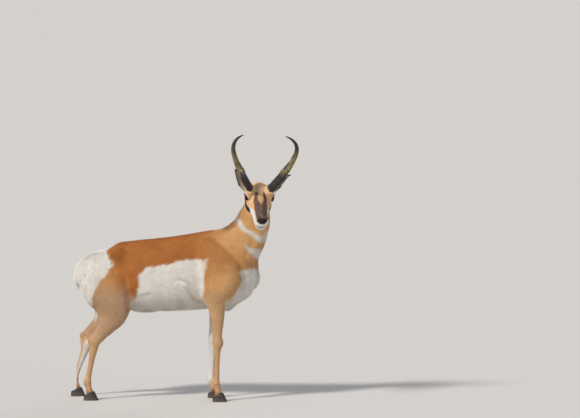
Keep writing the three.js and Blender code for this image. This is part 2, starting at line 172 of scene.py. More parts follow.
class Barrel:
    """A body whose oval sections stand square to the X axis."""

    SAMPLES = 90

    def __init__(
        self, stations: Sequence[Sequence[float]], inset: float, cap: float = 20.0
    ) -> None:
        """Take the sections in by the coat's depth.

        Args:
            stations: rows of x, top, bottom, half width and height of the widest place.
            inset: the coat's depth.
            cap: how far the rounded ends stand out past the first and last section.
        """
        self.cap = cap
        rows = spline(np.array(stations, float), self.SAMPLES)
        self.x, self.top, self.bottom, self.wide, self.mid = rows.T
        self.top = self.top - inset
        self.bottom = self.bottom + inset
        self.wide = self.wide - inset
        self.x[0] += inset
        self.x[-1] -= inset

    def distance(self, p: Array) -> Array:
        """How far points lie outside.

        Args:
            p: the points.

        Returns:
            The distances, negative inside.
        """
        x = np.clip(p[:, 0], self.x[0], self.x[-1])
        top, bottom, wide, mid = (
            np.interp(x, self.x, row) for row in (self.top, self.bottom, self.wide, self.mid)
        )
        z = p[:, 2] - mid
        high = np.where(z > 0, top - mid, mid - bottom)
        along = np.stack([p[:, 0] - x, p[:, 1], z], 1)
        size = np.stack([np.full_like(wide, self.cap), wide, np.maximum(high, 8.0)], 1)
        return oval_distance(along, size)

    def reach(self) -> tuple[Array, Array]:
        """The lowest and highest corner of a box round it.

        Returns:
            The two corners.
        """
        low = (self.x[0] - self.cap, -self.wide.max(), self.bottom.min())
        high = (self.x[-1] + self.cap, self.wide.max(), self.top.max())
        return np.array(low), np.array(high)


class Limb:
    """A tube of changing oval section along a curve, such as a leg or the neck."""

    SAMPLES = 56
    ROUNDS = 4

    def __init__(
        self,
        stations: Sequence[Sequence[float]],
        inset: float = 0.0,
        front: Sequence[float] = (1.0, 0.0, 0.0),
    ) -> None:
        """Lay the sections along the curve.

        Args:
            stations: rows of x, y, z, half depth, half width and, if it twists, the twist.
            inset: the coat's depth.
            front: the way the sections' depth runs, where they are untwisted.
        """
        rows = spline(np.array(stations, float), self.SAMPLES)
        self.centre = rows[:, :3]
        self.deep = np.maximum(rows[:, 3] - inset, 1.5)
        self.wide = np.maximum(rows[:, 4] - inset, 1.5)
        twist = np.radians(rows[:, 5]) if rows.shape[1] > 5 else np.zeros(len(rows))
        self.tangent = unit(np.gradient(self.centre, axis=0))
        c, s = np.cos(-twist), np.sin(-twist)
        fx, fy, fz = front
        facing = np.stack([c * fx - s * fy, s * fx + c * fy, np.full_like(c, fz)], 1)
        self.side = unit(np.cross(self.tangent, facing))
        self.up = unit(np.cross(self.side, self.tangent))

    def locate(self, p: Array) -> tuple[Array, Array, Array]:
        """Where points lie along and across the limb.

        Args:
            p: the points.

        Returns:
            The place along it from 0 to 1, the offsets (forward, sideways and beyond the ends),
            and the half sizes there.
        """
        last = self.SAMPLES - 1
        squares = (self.centre**2).sum(1)
        place = np.argmin(squares - 2.0 * p @ self.centre.T, axis=1).astype(float)
        span = np.linalg.norm(np.diff(self.centre, axis=0), axis=1)
        for _ in range(self.ROUNDS):
            i = np.minimum(place.astype(int), last - 1)
            t = (place - i)[:, None]
            offset = p - (self.centre[i] * (1 - t) + self.centre[i + 1] * t)
            tangent = self.tangent[i] * (1 - t) + self.tangent[i + 1] * t
            ahead = (offset * tangent).sum(1) / span[i]
            place = np.clip(place + np.clip(ahead, -1.5, 1.5), 0.0, last)
        i = np.minimum(place.astype(int), last - 1)
        t = (place - i)[:, None]
        offset = p - (self.centre[i] * (1 - t) + self.centre[i + 1] * t)
        up = self.up[i] * (1 - t) + self.up[i + 1] * t
        side = self.side[i] * (1 - t) + self.side[i + 1] * t
        tangent = self.tangent[i] * (1 - t) + self.tangent[i + 1] * t
        deep = np.interp(place, np.arange(self.SAMPLES), self.deep)
        wide = np.interp(place, np.arange(self.SAMPLES), self.wide)
        at_end = (place <= 0.0) | (place >= last)
        beyond = (offset * tangent).sum(1) * at_end
        along = np.stack([(offset * up).sum(1), (offset * side).sum(1), beyond], 1)
        size = np.stack([deep, wide, np.minimum(deep, wide)], 1)
        return place / (self.SAMPLES - 1.0), along, size

    def distance(self, p: Array) -> Array:
        """How far points lie outside.

        Args:
            p: the points.

        Returns:
            The distances, negative inside.
        """
        _, along, size = self.locate(p)
        return oval_distance(along, size)

    def reach(self) -> tuple[Array, Array]:
        """The lowest and highest corner of a box round it."""
        widest = np.maximum(self.deep, self.wide)[:, None]
        return (self.centre - widest).min(0), (self.centre + widest).max(0)


@dataclass(frozen=True)
class Blob:
    """An ellipsoid: its middle and its half sizes."""

    at: Triple
    size: Triple

    def distance(self, p: Array) -> Array:
        """How far points lie outside."""
        return oval_distance(p - np.array(self.at), np.array(self.size))

    def reach(self) -> tuple[Array, Array]:
        """The lowest and highest corner of a box round it."""
        at, most = np.array(self.at), max(self.size)
        return at - most, at + most


@dataclass(frozen=True)
class Muscle:
    """A tapered strap between two points, swollen in the middle and flat from side to side."""

    start: Triple
    end: Triple
    radii: tuple[float, float]
    swell: float = 0.0
    flat: float = 1.0

    def distance(self, p: Array) -> Array:
        """How far points lie outside.

        Args:
            p: the points.

        Returns:
            The distances, negative inside.
        """
        squash = np.array((1.0, 1.0 / self.flat, 1.0))
        a, b = np.array(self.start) * squash, np.array(self.end) * squash
        q = p * squash - a
        t = np.clip(q @ (b - a) / max((b - a) @ (b - a), 1e-6), 0.0, 1.0)
        radius = self.radii[0] * (1 - t) + self.radii[1] * t + 4 * self.swell * t * (1 - t)
        gap = np.linalg.norm(q - t[:, None] * (b - a), axis=1) - radius
        return gap * (0.5 + 0.5 * self.flat)

    def reach(self) -> tuple[Array, Array]:
        """The lowest and highest corner of a box round it.

        Returns:
            The two corners.
        """
        most = max(self.radii) + self.swell
        ends = np.array([self.start, self.end])
        return ends.min(0) - most, ends.max(0) + most


@dataclass(frozen=True)
class Crease:
    """A soft line pressed into the skin, or raised from it where its depth is negative."""

    points: tuple[Triple, ...]
    width: float
    depth: float

    def press(self, p: Array) -> Array:
        """How deep the line is at each point.

        Args:
            p: the points.

        Returns:
            The depths, negative where it is raised.
        """
        nearest = np.full(len(p), np.inf)
        for start, end in zip(self.points, self.points[1:]):
            a, b = np.array(start), np.array(end)
            t = np.clip((p - a) @ (b - a) / max((b - a) @ (b - a), 1e-6), 0.0, 1.0)
            nearest = np.minimum(nearest, ((p - a - t[:, None] * (b - a)) ** 2).sum(1))
        return self.depth * np.exp(-nearest / self.width**2)

    def reach(self) -> tuple[Array, Array]:
        """The lowest and highest corner of a box round it."""
        ends = np.array(self.points)
        return ends.min(0) - 2.6 * self.width, ends.max(0) + 2.6 * self.width


# The head: x, top, bottom, half width, height of the widest place, in its own frame.
SKULL = (
    (-116, 8, -44, 32, -18),
    (-100, 24, -72, 48, -22),
    (-62, 39, -94, 58, -22),
    (-20, 45, -96, 58, -20),
    (30, 43, -86, 52, -22),
    (80, 36, -76, 43, -26),
    (130, 28, -74, 38, -30),
    (172, 21, -77, 36, -34),
    (196, 11, -71, 31, -36),
    (207, -4, -48, 18, -28),
)
NOSE_CAP = 7.0
# The eyelid's radius, the way the left eye looks, and its opening's half sizes. The opening starts
# a little ahead of the eyeball's middle.
LID_RADIUS = EYE_RADIUS + 3.0
GAZE = np.array((0.42, 0.9, 0.06))
OPENING = (16.5, 12.0)
OPENING_FROM = 4.0
OPENING_REACH = 34.0


def across(gaze: Array) -> tuple[Array, Array]:
    """The level way and the upright way across a gaze."""
    level = unit(np.cross(gaze, (0.0, 0.0, 1.0)))
    return level, np.cross(level, gaze)


@dataclass(frozen=True)
class EyeOpening:
    """The almond space in front of an eyeball."""

    at: Triple
    gaze: Triple

    def distance(self, p: Array) -> Array:
        """How far points lie outside it.

        Args:
            p: the points.

        Returns:
            The distances, negative inside.
        """
        gaze = np.array(self.gaze)
        level, up = across(gaze)
        q = p - np.array(self.at)
        long, tall = q @ level / OPENING[0], q @ up / OPENING[1]
        outside = (np.sqrt(long**2 + tall**2) - 1.0) * OPENING[1]
        return np.maximum(outside, OPENING_FROM - q @ gaze)

    def reach(self) -> tuple[Array, Array]:
        """The lowest and highest corner of a box round it."""
        at = np.array(self.at)
        return at - OPENING_REACH, at + OPENING_REACH


# Every kind of shape that a sculpting step takes.
Shape = Barrel | Limb | Blob | Muscle | Crease | EyeOpening


class Work(Enum):
    """What a sculpting step does with its shape."""

    ADD = "add"
    CUT = "cut"
    PRESS = "press"


@dataclass(frozen=True)
class Step:
    """One step of the sculpting."""

    work: Work
    shape: Shape
    blend: float
    in_head: bool

    def reach(self) -> tuple[Array, Array]:
        """The box in which the step can matter, in its own frame.

        Returns:
            The two corners.
        """
        low, high = self.shape.reach()
        margin = 0.0 if self.work is Work.PRESS else 1.4 * self.blend + 18.0
        return low - margin, high + margin

    def apply(self, d: Array, p: Array) -> Array:
        """The distances after this step.

        Args:
            d: the distances before it.
            p: the points, in the step's own frame.

        Returns:
            The distances after it.
        """
        if self.work is Work.PRESS:
            return d + self.shape.press(p)
        near = self.shape.distance(p)
        return joined(d, near, self.blend) if self.work is Work.ADD else carved(d, near, self.blend)


def grid_points(axes: Sequence[Array]) -> tuple[Array, tuple[int, ...]]:
    """Every point of a square grid.

    Args:
        axes: the grid's places along X, Y and Z.

    Returns:
        The points, one row each, and the grid's shape.
    """
    parts = np.meshgrid(*axes, indexing="ij")
    return np.stack([part.ravel() for part in parts], 1), parts[0].shape


class Sculpture:
    """A shape built up step by step as a field of distances."""

    def __init__(self) -> None:
        """Start with no clay."""
        self.steps: list[Step] = []

    def add(self, shape: Shape, blend: float, in_head: bool = False) -> None:
        """Join a shape on, with a fillet as wide as blend."""
        self.steps.append(Step(Work.ADD, shape, blend, in_head))

    def add_to_head(self, shape: Shape, blend: float) -> None:
        """Join a shape on, in the head's frame."""
        self.add(shape, blend, in_head=True)

    def cut(self, shape: Shape, blend: float, in_head: bool = False) -> None:
        """Take a shape out."""
        self.steps.append(Step(Work.CUT, shape, blend, in_head))

    def press(self, shape: Crease, in_head: bool = False) -> None:
        """Press a line in, or raise it."""
        self.steps.append(Step(Work.PRESS, shape, 0.0, in_head))

    def on_grid(self, axes: Sequence[Array], in_head: bool = False) -> Array:
        """The distances at every point of a square grid.

        Args:
            axes: the grid's places along X, Y and Z.
            in_head: whether it stands square in the head's frame, not the animal's.

        Returns:
            The distances, as a block of numbers.
        """
        d = np.full([len(a) for a in axes], FAR)
        for step in self.steps:
            low, high = step.reach()
            turned = step.in_head != in_head
            if turned:
                corners = np.array([(x, y, z) for x in (0, 1) for y in (0, 1) for z in (0, 1)])
                corners = low + corners * (high - low)
                box = HEAD.into(corners) if in_head else HEAD.out(corners)
                low, high = box.min(0), box.max(0)
            block = tuple(
                slice(int(np.searchsorted(a, lo)), int(np.searchsorted(a, hi)))
                for a, lo, hi in zip(axes, low, high)
            )
            if any(s.start >= s.stop for s in block):
                continue
            p, shape = grid_points([a[s] for a, s in zip(axes, block)])
            if turned:
                p = HEAD.out(p) if in_head else HEAD.into(p)
            d[block] = step.apply(d[block].ravel(), p).reshape(shape)
        return d


def mesh_of(d: Array, start: Array, pitch: float) -> tuple[Array, Array]:
    """The surface where a grid of distances is zero.

    Args:
        d: the distances.
        start: the grid's first corner.
        pitch: the grid's spacing.

    Returns:
        The points and the four-sided faces, pointing outwards.
    """
    grid = openvdb.FloatGrid(FAR)
    grid.copyFromArray(np.clip(d, -60.0, FAR).astype(np.float32))
    points, quads = grid.convertToQuads(0.0)
    points = points.astype(float) * pitch + start
    quads = quads.astype(np.int64)
    a, b, c = (points[quads[:, k]] for k in (0, 1, 2))
    if (np.cross(b - a, c - a) * (a - points.mean(0))).sum() < 0:
        quads = quads[:, ::-1]
    return points, quads


# The trunk, from buttock to breast: x, top, bottom, half width, height of the widest place.
TRUNK = (
    (-452, 690, 610, 34, 650),
    (-436, 724, 570, 66, 645),
    (-385, 752, 536, 96, 645),
    (-312, 779, 516, 108, 650),
    (-250, 812, 496, 113, 655),
    (-160, 825, 458, 126, 640),
    (-20, 837, 450, 141, 630),
    (90, 853, 455, 137, 635),
    (200, 872, 464, 120, 640),
    (290, 862, 478, 108, 650),
    (360, 822, 507, 94, 650),
    (415, 766, 543, 72, 645),
    (446, 702, 606, 36, 652),
)
# The neck: middle line, half depth, half width and twist.
NECK = (
    (286, 0, 728, 146, 92, 0),
    (345, 0, 780, 131, 86, 0),
    (394, -1, 834, 113, 75, 4),
    (428, -5, 895, 98, 68, 14),
    (450, -16, 956, 91, 65, 34),
    (464, -36, 1012, 80, 63, 58),
    (469, -68, 1058, 66, 58, 76),
    (472, -92, 1086, 42, 42, 79),
)
# The legs: x, distance out from the middle plane, height, half depth and half width.
FORELEG = (
    (214, 58, 806, 46, 34),
    (246, 82, 740, 82, 48),
    (282, 94, 660, 100, 52),
    (270, 97, 595, 92, 48),
    (251, 92, 540, 66, 41),
    (252, 87, 490, 46, 35),
    (256, 85, 430, 36, 30),
    (257, 84, 370, 29, 25),
    (257, 84, 330, 27, 24),
    (259, 84, 298, 28, 26),
    (256, 84, 258, 21, 19),
    (255, 84, 190, 16.5, 15),
    (253, 84, 124, 17.5, 16),
    (249, 84, 94, 22, 20),
    (258, 84, 60, 19, 20),
    (266, 84, 24, 26, 25),
)
HIND_LEG = (
    (-322, 52, 716, 96, 46),
    (-324, 74, 640, 124, 58),
    (-306, 84, 566, 122, 60),
    (-286, 90, 500, 104, 54),
    (-289, 92, 440, 80, 42),
    (-316, 92, 390, 57, 33),
    (-350, 91, 345, 42, 26),
    (-376, 91, 306, 35, 25),
    (-384, 91, 262, 25, 20),
    (-397, 90, 190, 18, 15.5),
    (-410, 90, 122, 18, 16),
    (-416, 90, 92, 22, 20),
    (-408, 90, 60, 19, 20),
    (-400, 90, 24, 26, 25),
)
TAIL = (
    (-418, 0, 716, 17, 22),
    (-448, 0, 690, 17, 25),
    (-465, 0, 645, 14, 26),
    (-472, 0, 595, 11, 20),
    (-473, 0, 560, 4, 6),
)
# How far the far side's legs are set back, at the hock and at the hoof.
FAR_FORE_BACK = 46.0
FAR_HOCK_BACK = 68.0
FAR_HOOF_BACK = 96.0
FAR_HOCK_DROP = 30.0
STRIDE_HEIGHT = 640.0
HOCK_HEIGHT = 300.0

# The trunk's hollows and folds on its left side: their points, width and depth. The row of five is
# the ribs. A fold with a negative depth stands out.
TRUNK_FOLDS = (
    (((-214, 112, 752), (-196, 122, 716)), 36, 8),
    (((352, 80, 690), (338, 74, 600), (308, 66, 540)), 15, 10),
    (((176, 116, 720), (190, 122, 620), (206, 106, 528)), 26, 4),
    (((-196, 122, 640), (-192, 118, 560), (-210, 96, 494)), 17, 9),
    (((-372, 96, 640), (-352, 122, 560), (-362, 104, 500)), 15, 6),
    (((262, 92, 770), (330, 88, 700)), 16, 5),
    *((((120 - 50 * i, 134, 700), (90 - 50 * i, 136, 560)), 9, 1.6) for i in range(5)),
    (((72, 128, 628), (116, 122, 604), (166, 110, 540)), 11, 14),
    (((60, 130, 606), (104, 124, 580), (150, 114, 520)), 13, -7),
    (((-196, 106, 492), (-146, 116, 528), (-92, 124, 548)), 12, 14),
    (((-188, 110, 522), (-140, 120, 556), (-90, 128, 572)), 13, -6),
    (((-90, 104, 488), (20, 110, 482), (120, 102, 490)), 10, 10),
    (((-70, 92, 468), (30, 96, 462), (110, 90, 470)), 10, -5),
    (((-254, 98, 770), (-268, 104, 724), (-262, 112, 676)), 8, 5),
    (((-230, 108, 742), (-196, 116, 700), (-206, 120, 664)), 9, 5),
    (((186, 116, 560), (206, 112, 520), (222, 104, 500)), 5, 3.5),
)

# How deep the coat lies on each part.
TRUNK_COAT = 9.0
NECK_COAT = 11.0
LEG_COAT = 4.0
TAIL_COAT = 9.0
HEAD_COAT = 4.0


class Leg:
    """One leg: where it stands, and its shape."""

    def __init__(self, fore: bool, side: Side) -> None:
        """Set the leg down where it stands.

        Args:
            fore: whether it is a foreleg.
            side: the side it is on.
        """
        self.fore, self.side = fore, side
        self.stations = self.placed(FORELEG if fore else HIND_LEG)
        self.limb = Limb(self.stations, LEG_COAT)

    def placed(self, stations: Sequence[Sequence[float]]) -> Array:
        """Near-side numbers, x, y and z first, set to where this leg stands.

        Args:
            stations: the numbers, one row for each place.

        Returns:
            The rows where this leg stands.
        """
        rows = np.array(stations, float)
        rows[:, 1] *= self.side.value
        if self.side is Side.RIGHT:
            return rows
        upper = np.clip((STRIDE_HEIGHT - rows[:, 2]) / (STRIDE_HEIGHT - HOCK_HEIGHT), 0, 1)
        lower = np.clip(1.45 * (HOCK_HEIGHT - rows[:, 2]) / HOCK_HEIGHT, 0, 1)
        if self.fore:
            rows[:, 0] -= FAR_FORE_BACK * upper
            return rows
        rows[:, 0] -= FAR_HOCK_BACK * upper + (FAR_HOOF_BACK - FAR_HOCK_BACK) * lower
        rows[:, 2] -= FAR_HOCK_DROP * upper * (1 - lower)
        return rows

    def spot(self, x: float, y: float, z: float) -> Triple:
        """One near-side point, set to where this leg stands."""
        return tuple(self.placed([(x, y, z)])[0])

    def sculpt(self, clay: Sculpture) -> None:
        """Model the leg's flesh and bones.

        Args:
            clay: the sculpture they go on.
        """
        clay.add(self.limb, 26.0)
        at = self.spot
        if self.fore:
            clay.add(Muscle(at(222, 64, 800), at(330, 84, 622), (26, 40), 14, 0.62), 26)
            clay.add(Muscle(at(330, 84, 618), at(238, 92, 540), (34, 24), 10, 0.7), 22)
            clay.add(Muscle(at(222, 84, 690), at(232, 96, 556), (34, 24), 14, 0.62), 22)
            clay.add(Blob(at(226, 93, 536), (20, 15, 24)), 14)
            clay.add(Muscle(at(266, 96, 510), at(264, 88, 372), (22, 14), 5, 0.8), 14)
            clay.add(Blob(at(268, 84, 304), (17, 18, 26)), 10)
            clay.add(Blob(at(247, 84, 296), (12, 14, 16)), 10)
            clay.add(Blob(at(250, 84, 94), (17, 17, 18)), 10)
            for out in (-1, 1):
                clay.press(Crease((at(248, 84 + 14 * out, 250), at(246, 84 + 13 * out, 130)), 5, 3))
        else:
            clay.add(Muscle(at(-318, 62, 706), at(-262, 92, 540), (44, 44), 16, 0.62), 36)
            clay.add(Muscle(at(-414, 48, 678), at(-334, 88, 470), (38, 30), 12, 0.66), 26)
            clay.add(Blob(at(-238, 96, 512), (34, 24, 40)), 20)
            clay.add(Muscle(at(-318, 91, 450), at(-412, 91, 346), (16, 8), 0, 0.8), 16)
            clay.add(Muscle(at(-413, 91, 345), at(-390, 91, 288), (9, 12), 2, 0.9), 12)
            clay.add(Muscle(at(-268, 92, 470), at(-352, 91, 322), (20, 12), 4, 0.8), 16)
            clay.add(Blob(at(-416, 90, 94), (17, 17, 18)), 10)
            for out in (-1, 1):
                dip = (at(-352, 91 + 15 * out, 400), at(-392, 91 + 13 * out, 330))
                clay.press(Crease(dip, 9, 6))
                cord = (at(-398, 90 + 14 * out, 250), at(-416, 90 + 13 * out, 130))
                clay.press(Crease(cord, 5, 3))


class Anatomy:
    """The animal's whole shape under its coat."""

    def __init__(self) -> None:
        """Model every part."""
        self.clay = Sculpture()
        self.trunk = Barrel(TRUNK, TRUNK_COAT)
        self.neck = Limb(NECK, NECK_COAT)
        self.tail = Limb(TAIL, TAIL_COAT)
        self.legs = [Leg(fore, side) for fore in (True, False) for side in Side]
        self.model_trunk()
        self.model_neck()
        for leg in self.legs:
            leg.sculpt(self.clay)
        self.crease_trunk()
        self.model_skull()
        self.model_muzzle()
        self.open_eyes()

    def model_trunk(self) -> None:
        """The barrel, the breast, the belly and the tail's root."""
        clay = self.clay
        clay.add(self.trunk, 10)
        clay.add(Muscle((404, 0, 640), (300, 0, 500), (44, 34), 6, 0.8), 34)
        clay.add(Muscle((214, 0, 830), (-244, 0, 758), (24, 24), 0, 1.0), 40)
        clay.add(Muscle((-244, 0, 758), (-372, 0, 706), (24, 24), 0, 1.0), 40)
        clay.add(Blob((-128, 0, 470), (74, 20, 20)), 16)
        clay.add(Blob((-262, 0, 506), (32, 26, 38)), 14)
        clay.add(self.tail, 16)
        for side in Side:
            y = side.value
            clay.add(Blob((-262, 78 * y, 758), (44, 24, 30)), 44)
            clay.add(Muscle((-246, 98 * y, 560), (-172, 106 * y, 600), (15, 9), 0, 0.7), 34)
            clay.add(Muscle((-400, 34 * y, 694), (-438, 34 * y, 636), (36, 38), 6, 0.9), 34)

    def crease_trunk(self) -> None:
        """The hollows and folds where the big muscles meet."""
        for side in Side:
            for points, width, depth in TRUNK_FOLDS:
                own = tuple((x, y * side.value, z) for x, y, z in points)
                self.clay.press(Crease(own, width, depth))

    def model_neck(self) -> None:
        """The neck, with a groove pressed down each side."""
        clay = self.clay
        clay.add(self.neck, 46)
        for side in Side:
            groove = []
            for place in (0.2, 0.4, 0.6, 0.78):
                i = int(place * (Limb.SAMPLES - 1))
                out = self.neck.side[i] * self.neck.wide[i] * 0.86 * side.value
                ahead = self.neck.up[i] * self.neck.deep[i] * 0.55
                groove.append(tuple(self.neck.centre[i] + out + ahead))
            clay.press(Crease(tuple(groove), 13, 5))

    def model_skull(self) -> None:
        """The skull, cheeks and jaw, in the head's frame."""
        clay, add = self.clay, self.clay.add_to_head
        add(Barrel(SKULL, HEAD_COAT, NOSE_CAP), 24)
        for side in Side:
            y = side.value
            add(Blob((-4, 50 * y, 13), (29, 21, 19)), 10)
            add(Blob((-24, 41 * y, -56), (56, 25, 36)), 16)
            add(Muscle((8, 54 * y, -22), (84, 33 * y, -26), (12, 9), 0, 0.8), 14)
            add(Muscle((-56, 42 * y, -70), (112, 22 * y, -60), (16, 11), 0, 0.8), 20)
            add(Blob((-13, 49 * y, 34), (37, 24, 20)), 10)
            add(Blob((-62, 50 * y, 6), (22, 19, 22)), 12)
            clay.press(Crease(((26, 50 * y, 6), (72, 34 * y, 10)), 10, 3.5), in_head=True)
            clay.press(Crease(((16, 58 * y, -25), (-20, 62 * y, -30)), 8, 2.5), in_head=True)
            clay.press(Crease(((24, 50 * y, -50), (110, 37 * y, -44)), 9, 2.5), in_head=True)

    def model_muzzle(self) -> None:
        """The nose, lips and chin, in the head's frame."""
        clay, add = self.clay, self.clay.add_to_head
        add(Muscle((26, 0, 22), (172, 0, 2), (17, 14), 0, 1.1), 12)
        add(Blob((188, 0, -12), (17, 25, 18)), 8)
        add(Blob((168, 0, -63), (31, 27, 14)), 7)
        for side in Side:
            y = side.value
            add(Blob((186, 18 * y, -6), (16, 13, 15)), 6)
            add(Blob((168, 21 * y, -35), (33, 16, 16)), 7)
            nostril = Muscle((207, 10 * y, -9), (193, 25 * y, -1), (4.4, 3.4), 1.8, 1.0)
            clay.cut(nostril, 2.5, in_head=True)
            clay.press(Crease(((196, 28 * y, -10), (186, 30 * y, 2)), 3.5, 2.2), in_head=True)
            mouth = ((206, 0, -46), (198, 20 * y, -46), (164, 36 * y, -47), (120, 37 * y, -40))
            clay.press(Crease(mouth, 3.8, 6.5), in_head=True)
        clay.press(Crease(((206, 0, -14), (205, 0, -42)), 3.0, 2.4), in_head=True)

    def open_eyes(self) -> None:
        """The eyelids, with an almond opening before each eyeball."""
        for side in Side:
            at = EYE_AT * (1, side.value, 1)
            self.clay.add(Blob(tuple(at), (LID_RADIUS,) * 3), 7, in_head=True)
            gaze = unit(GAZE * (1, side.value, 1))
            self.clay.cut(EyeOpening(tuple(at), tuple(gaze)), 2.2, in_head=True)
            self.clay.cut(Blob(tuple(at), (EYE_RADIUS - 0.3,) * 3), 0.6, in_head=True)


# Where the head's mesh meets the body's, in the head's frame. They pass into each other a little.
CUT_AT = np.array((-88.0, 0.0, 0.0))
CUT_FACING = np.array((0.8, 0.0, 0.6))
CUT_LAP = 3.0
CUT_FLOOR = 880.0

# The space that holds the body, in its frame, and the head, in its own.
BODY_BOX = ((-500.0, -320.0, 12.0), (540.0, 160.0, 1160.0))
HEAD_BOX = ((-126.0, -96.0, -152.0), (222.0, 96.0, 84.0))
# The spacing of the grids they are made on, and how often each is then evened out.
BODY_GRID = 6.6
HEAD_GRID = 2.3
BODY_ROUNDS = 12
HEAD_ROUNDS = 2
# The two moves of each round, which together keep a shape's size.
EVEN_OUT = (0.55, -0.57)

# The middle of the finished model's floor plan, in the animal's frame.
MIDDLE = np.array((78.26, -83.78, 0.0))


def smoothed(points: Array, faces: Array, rounds: int) -> Array:
    """Points of a closed mesh, evened out without shrinking it.

    Args:
        points: the mesh's points.
        faces: its four-sided faces.
        rounds: how many times it is evened out.

    Returns:
        The new points.
    """
    start, end = faces.ravel(), np.roll(faces, -1, axis=1).ravel()
    count = np.bincount(start, minlength=len(points))[:, None]
    for _ in range(rounds):
        for share in EVEN_OUT:
            total = np.stack(
                [np.bincount(start, points[end, k], len(points)) for k in range(3)], 1
            )
            points = points + share * (total / count - points)
    return points


def normals_of(points: Array, faces: Array) -> Array:
    """The outward way at each point of a mesh of four-sided faces.

    Args:
        points: the mesh's points.
        faces: its faces.

    Returns:
        One unit row for each point.
    """
    a, b, c, d = (points[faces[:, k]] for k in range(4))
    across = np.cross(c - a, d - b)
    total = [np.bincount(faces.ravel(), np.repeat(across[:, k], 4), len(points)) for k in range(3)]
    return unit(np.stack(total, 1))


def wander(p: Array, size: float, seed: int) -> Array:
    """A smooth pattern from about -1 to 1 that wanders over a length of about size.

    Args:
        p: the points.
        size: the length it wanders over.
        seed: the seed of its waves.

    Returns:
        A number for each point.
    """
    rng = np.random.default_rng(seed)
    waves = unit(rng.normal(size=(9, 3))) * rng.uniform(0.6, 1.5, (9, 1)) * 2 * math.pi / size
    return np.sin(p @ waves.T + rng.uniform(0, 2 * math.pi, 9)).sum(1) / 4.0


def polygon_depth(p: Array, outline: Sequence[tuple[float, float]]) -> Array:
    """How far points lie inside a flat outline, negative outside.

    Args:
        p: the points, in the outline's plane.
        outline: its corners, in order.

    Returns:
        The depths.
    """
    nearest, inside = np.full(len(p), np.inf), np.zeros(len(p), bool)
    for (ax, ay), (bx, by) in zip(outline, (*outline[1:], outline[0])):
        edge = np.array((bx - ax, by - ay), float)
        offset = p - (ax, ay)
        t = np.clip(offset @ edge / (edge @ edge), 0.0, 1.0)
        nearest = np.minimum(nearest, np.linalg.norm(offset - t[:, None] * edge, axis=1))
        across = (ay > p[:, 1]) != (by > p[:, 1])
        reach = ax + (bx - ax) * (p[:, 1] - ay) / np.where(across, by - ay, 1.0)
        inside ^= across & (p[:, 0] < reach)
    return np.where(inside, nearest, -nearest)


def in_oval(p: Array, at: Triple, size: Triple, outer: float, inner: float) -> Array:
    """A share that fades out round an oval.

    Args:
        p: the points.
        at: the oval's middle.
        size: its half sizes.
        outer: how many times its size the share is 0 at.
        inner: how many times its size the share is 1 at.

    Returns:
        The shares.
    """
    return smoothstep(outer, inner, np.linalg.norm((p - at) / size, axis=1))


def linear(colour: Sequence[float]) -> Array:
    """A colour from 0 to 255 as light, for materials."""
    c = np.asarray(colour, float) / 255.0
    return np.where(c <= 0.04045, c / 12.92, ((c + 0.055) / 1.055) ** 2.4)


class Tone(Enum):
    """The animal's colours, each from 0 to 255."""

    RUST = (184, 112, 50)
    SPINE = (160, 94, 44)
    TAN = (234, 178, 116)
    SAND = (220, 174, 126)
    DUN = (204, 164, 128)
    WHITE = (240, 233, 222)
    MASK = (98, 76, 68)
    BUFF = (240, 198, 150)
    CREAM = (232, 221, 202)
    BLACK = (28, 22, 20)
    MANE = (110, 70, 42)
    NOSE = (20, 17, 17)
    EAR_RIM = (44, 32, 26)
    # A greyed white laid on as painted shade, low on the trunk and behind the elbow.
    DUSK = (196, 176, 156)

    def light(self) -> Array:
        """The colour as light."""
        return linear(self.value)


# How softly one part of the skin passes into the next, and how softly a marking's edge fades.
PART_FADE = 9.0
EDGE_FADE = 6.0

# The outlines of the white patches and of the elbow's painted shade. Body: x and height. Neck:
# degrees from the throat, place along it.
FLANK = (
    (-100, 688), (-75, 697), (44, 723), (140, 735), (220, 742), (215, 700), (205, 643),
    (190, 543), (175, 440), (-180, 440), (-160, 505), (-142, 559), (-133, 655),
)
ELBOW_SHADE = ((84, 616), (128, 604), (176, 548), (190, 500), (150, 516), (112, 578))
RUMP_EDGE = ((0, -400), (450, -404), (520, -391), (559, -378), (597, -351), (636, -329),
             (655, -301), (698, -278), (725, -288), (775, -306), (830, -300))
CHEST_EDGE = ((400, 240), (480, 292), (520, 330), (575, 362), (640, 386), (675, 372),
              (715, 404), (740, 470))
CRESCENT = (
    (364, 956), (398, 913), (450, 880), (489, 856), (500, 890), (600, 910), (600, 780), (482, 828),
    (430, 864), (386, 890), (356, 934),
)
THROAT_PATCH = ((401, 812), (440, 797), (496, 793), (600, 793), (600, 716), (464, 736))
CHEST_TOP = 692.0


class Part(Enum):
    """The parts of the skin, as its points are labelled."""

    TRUNK = 0
    NECK = 1
    FORE_LEFT = 2
    FORE_RIGHT = 3
    HIND_LEFT = 4
    HIND_RIGHT = 5
    TAIL = 6
    HEAD = 7
    EAR_LEFT = 8
    EAR_RIGHT = 9


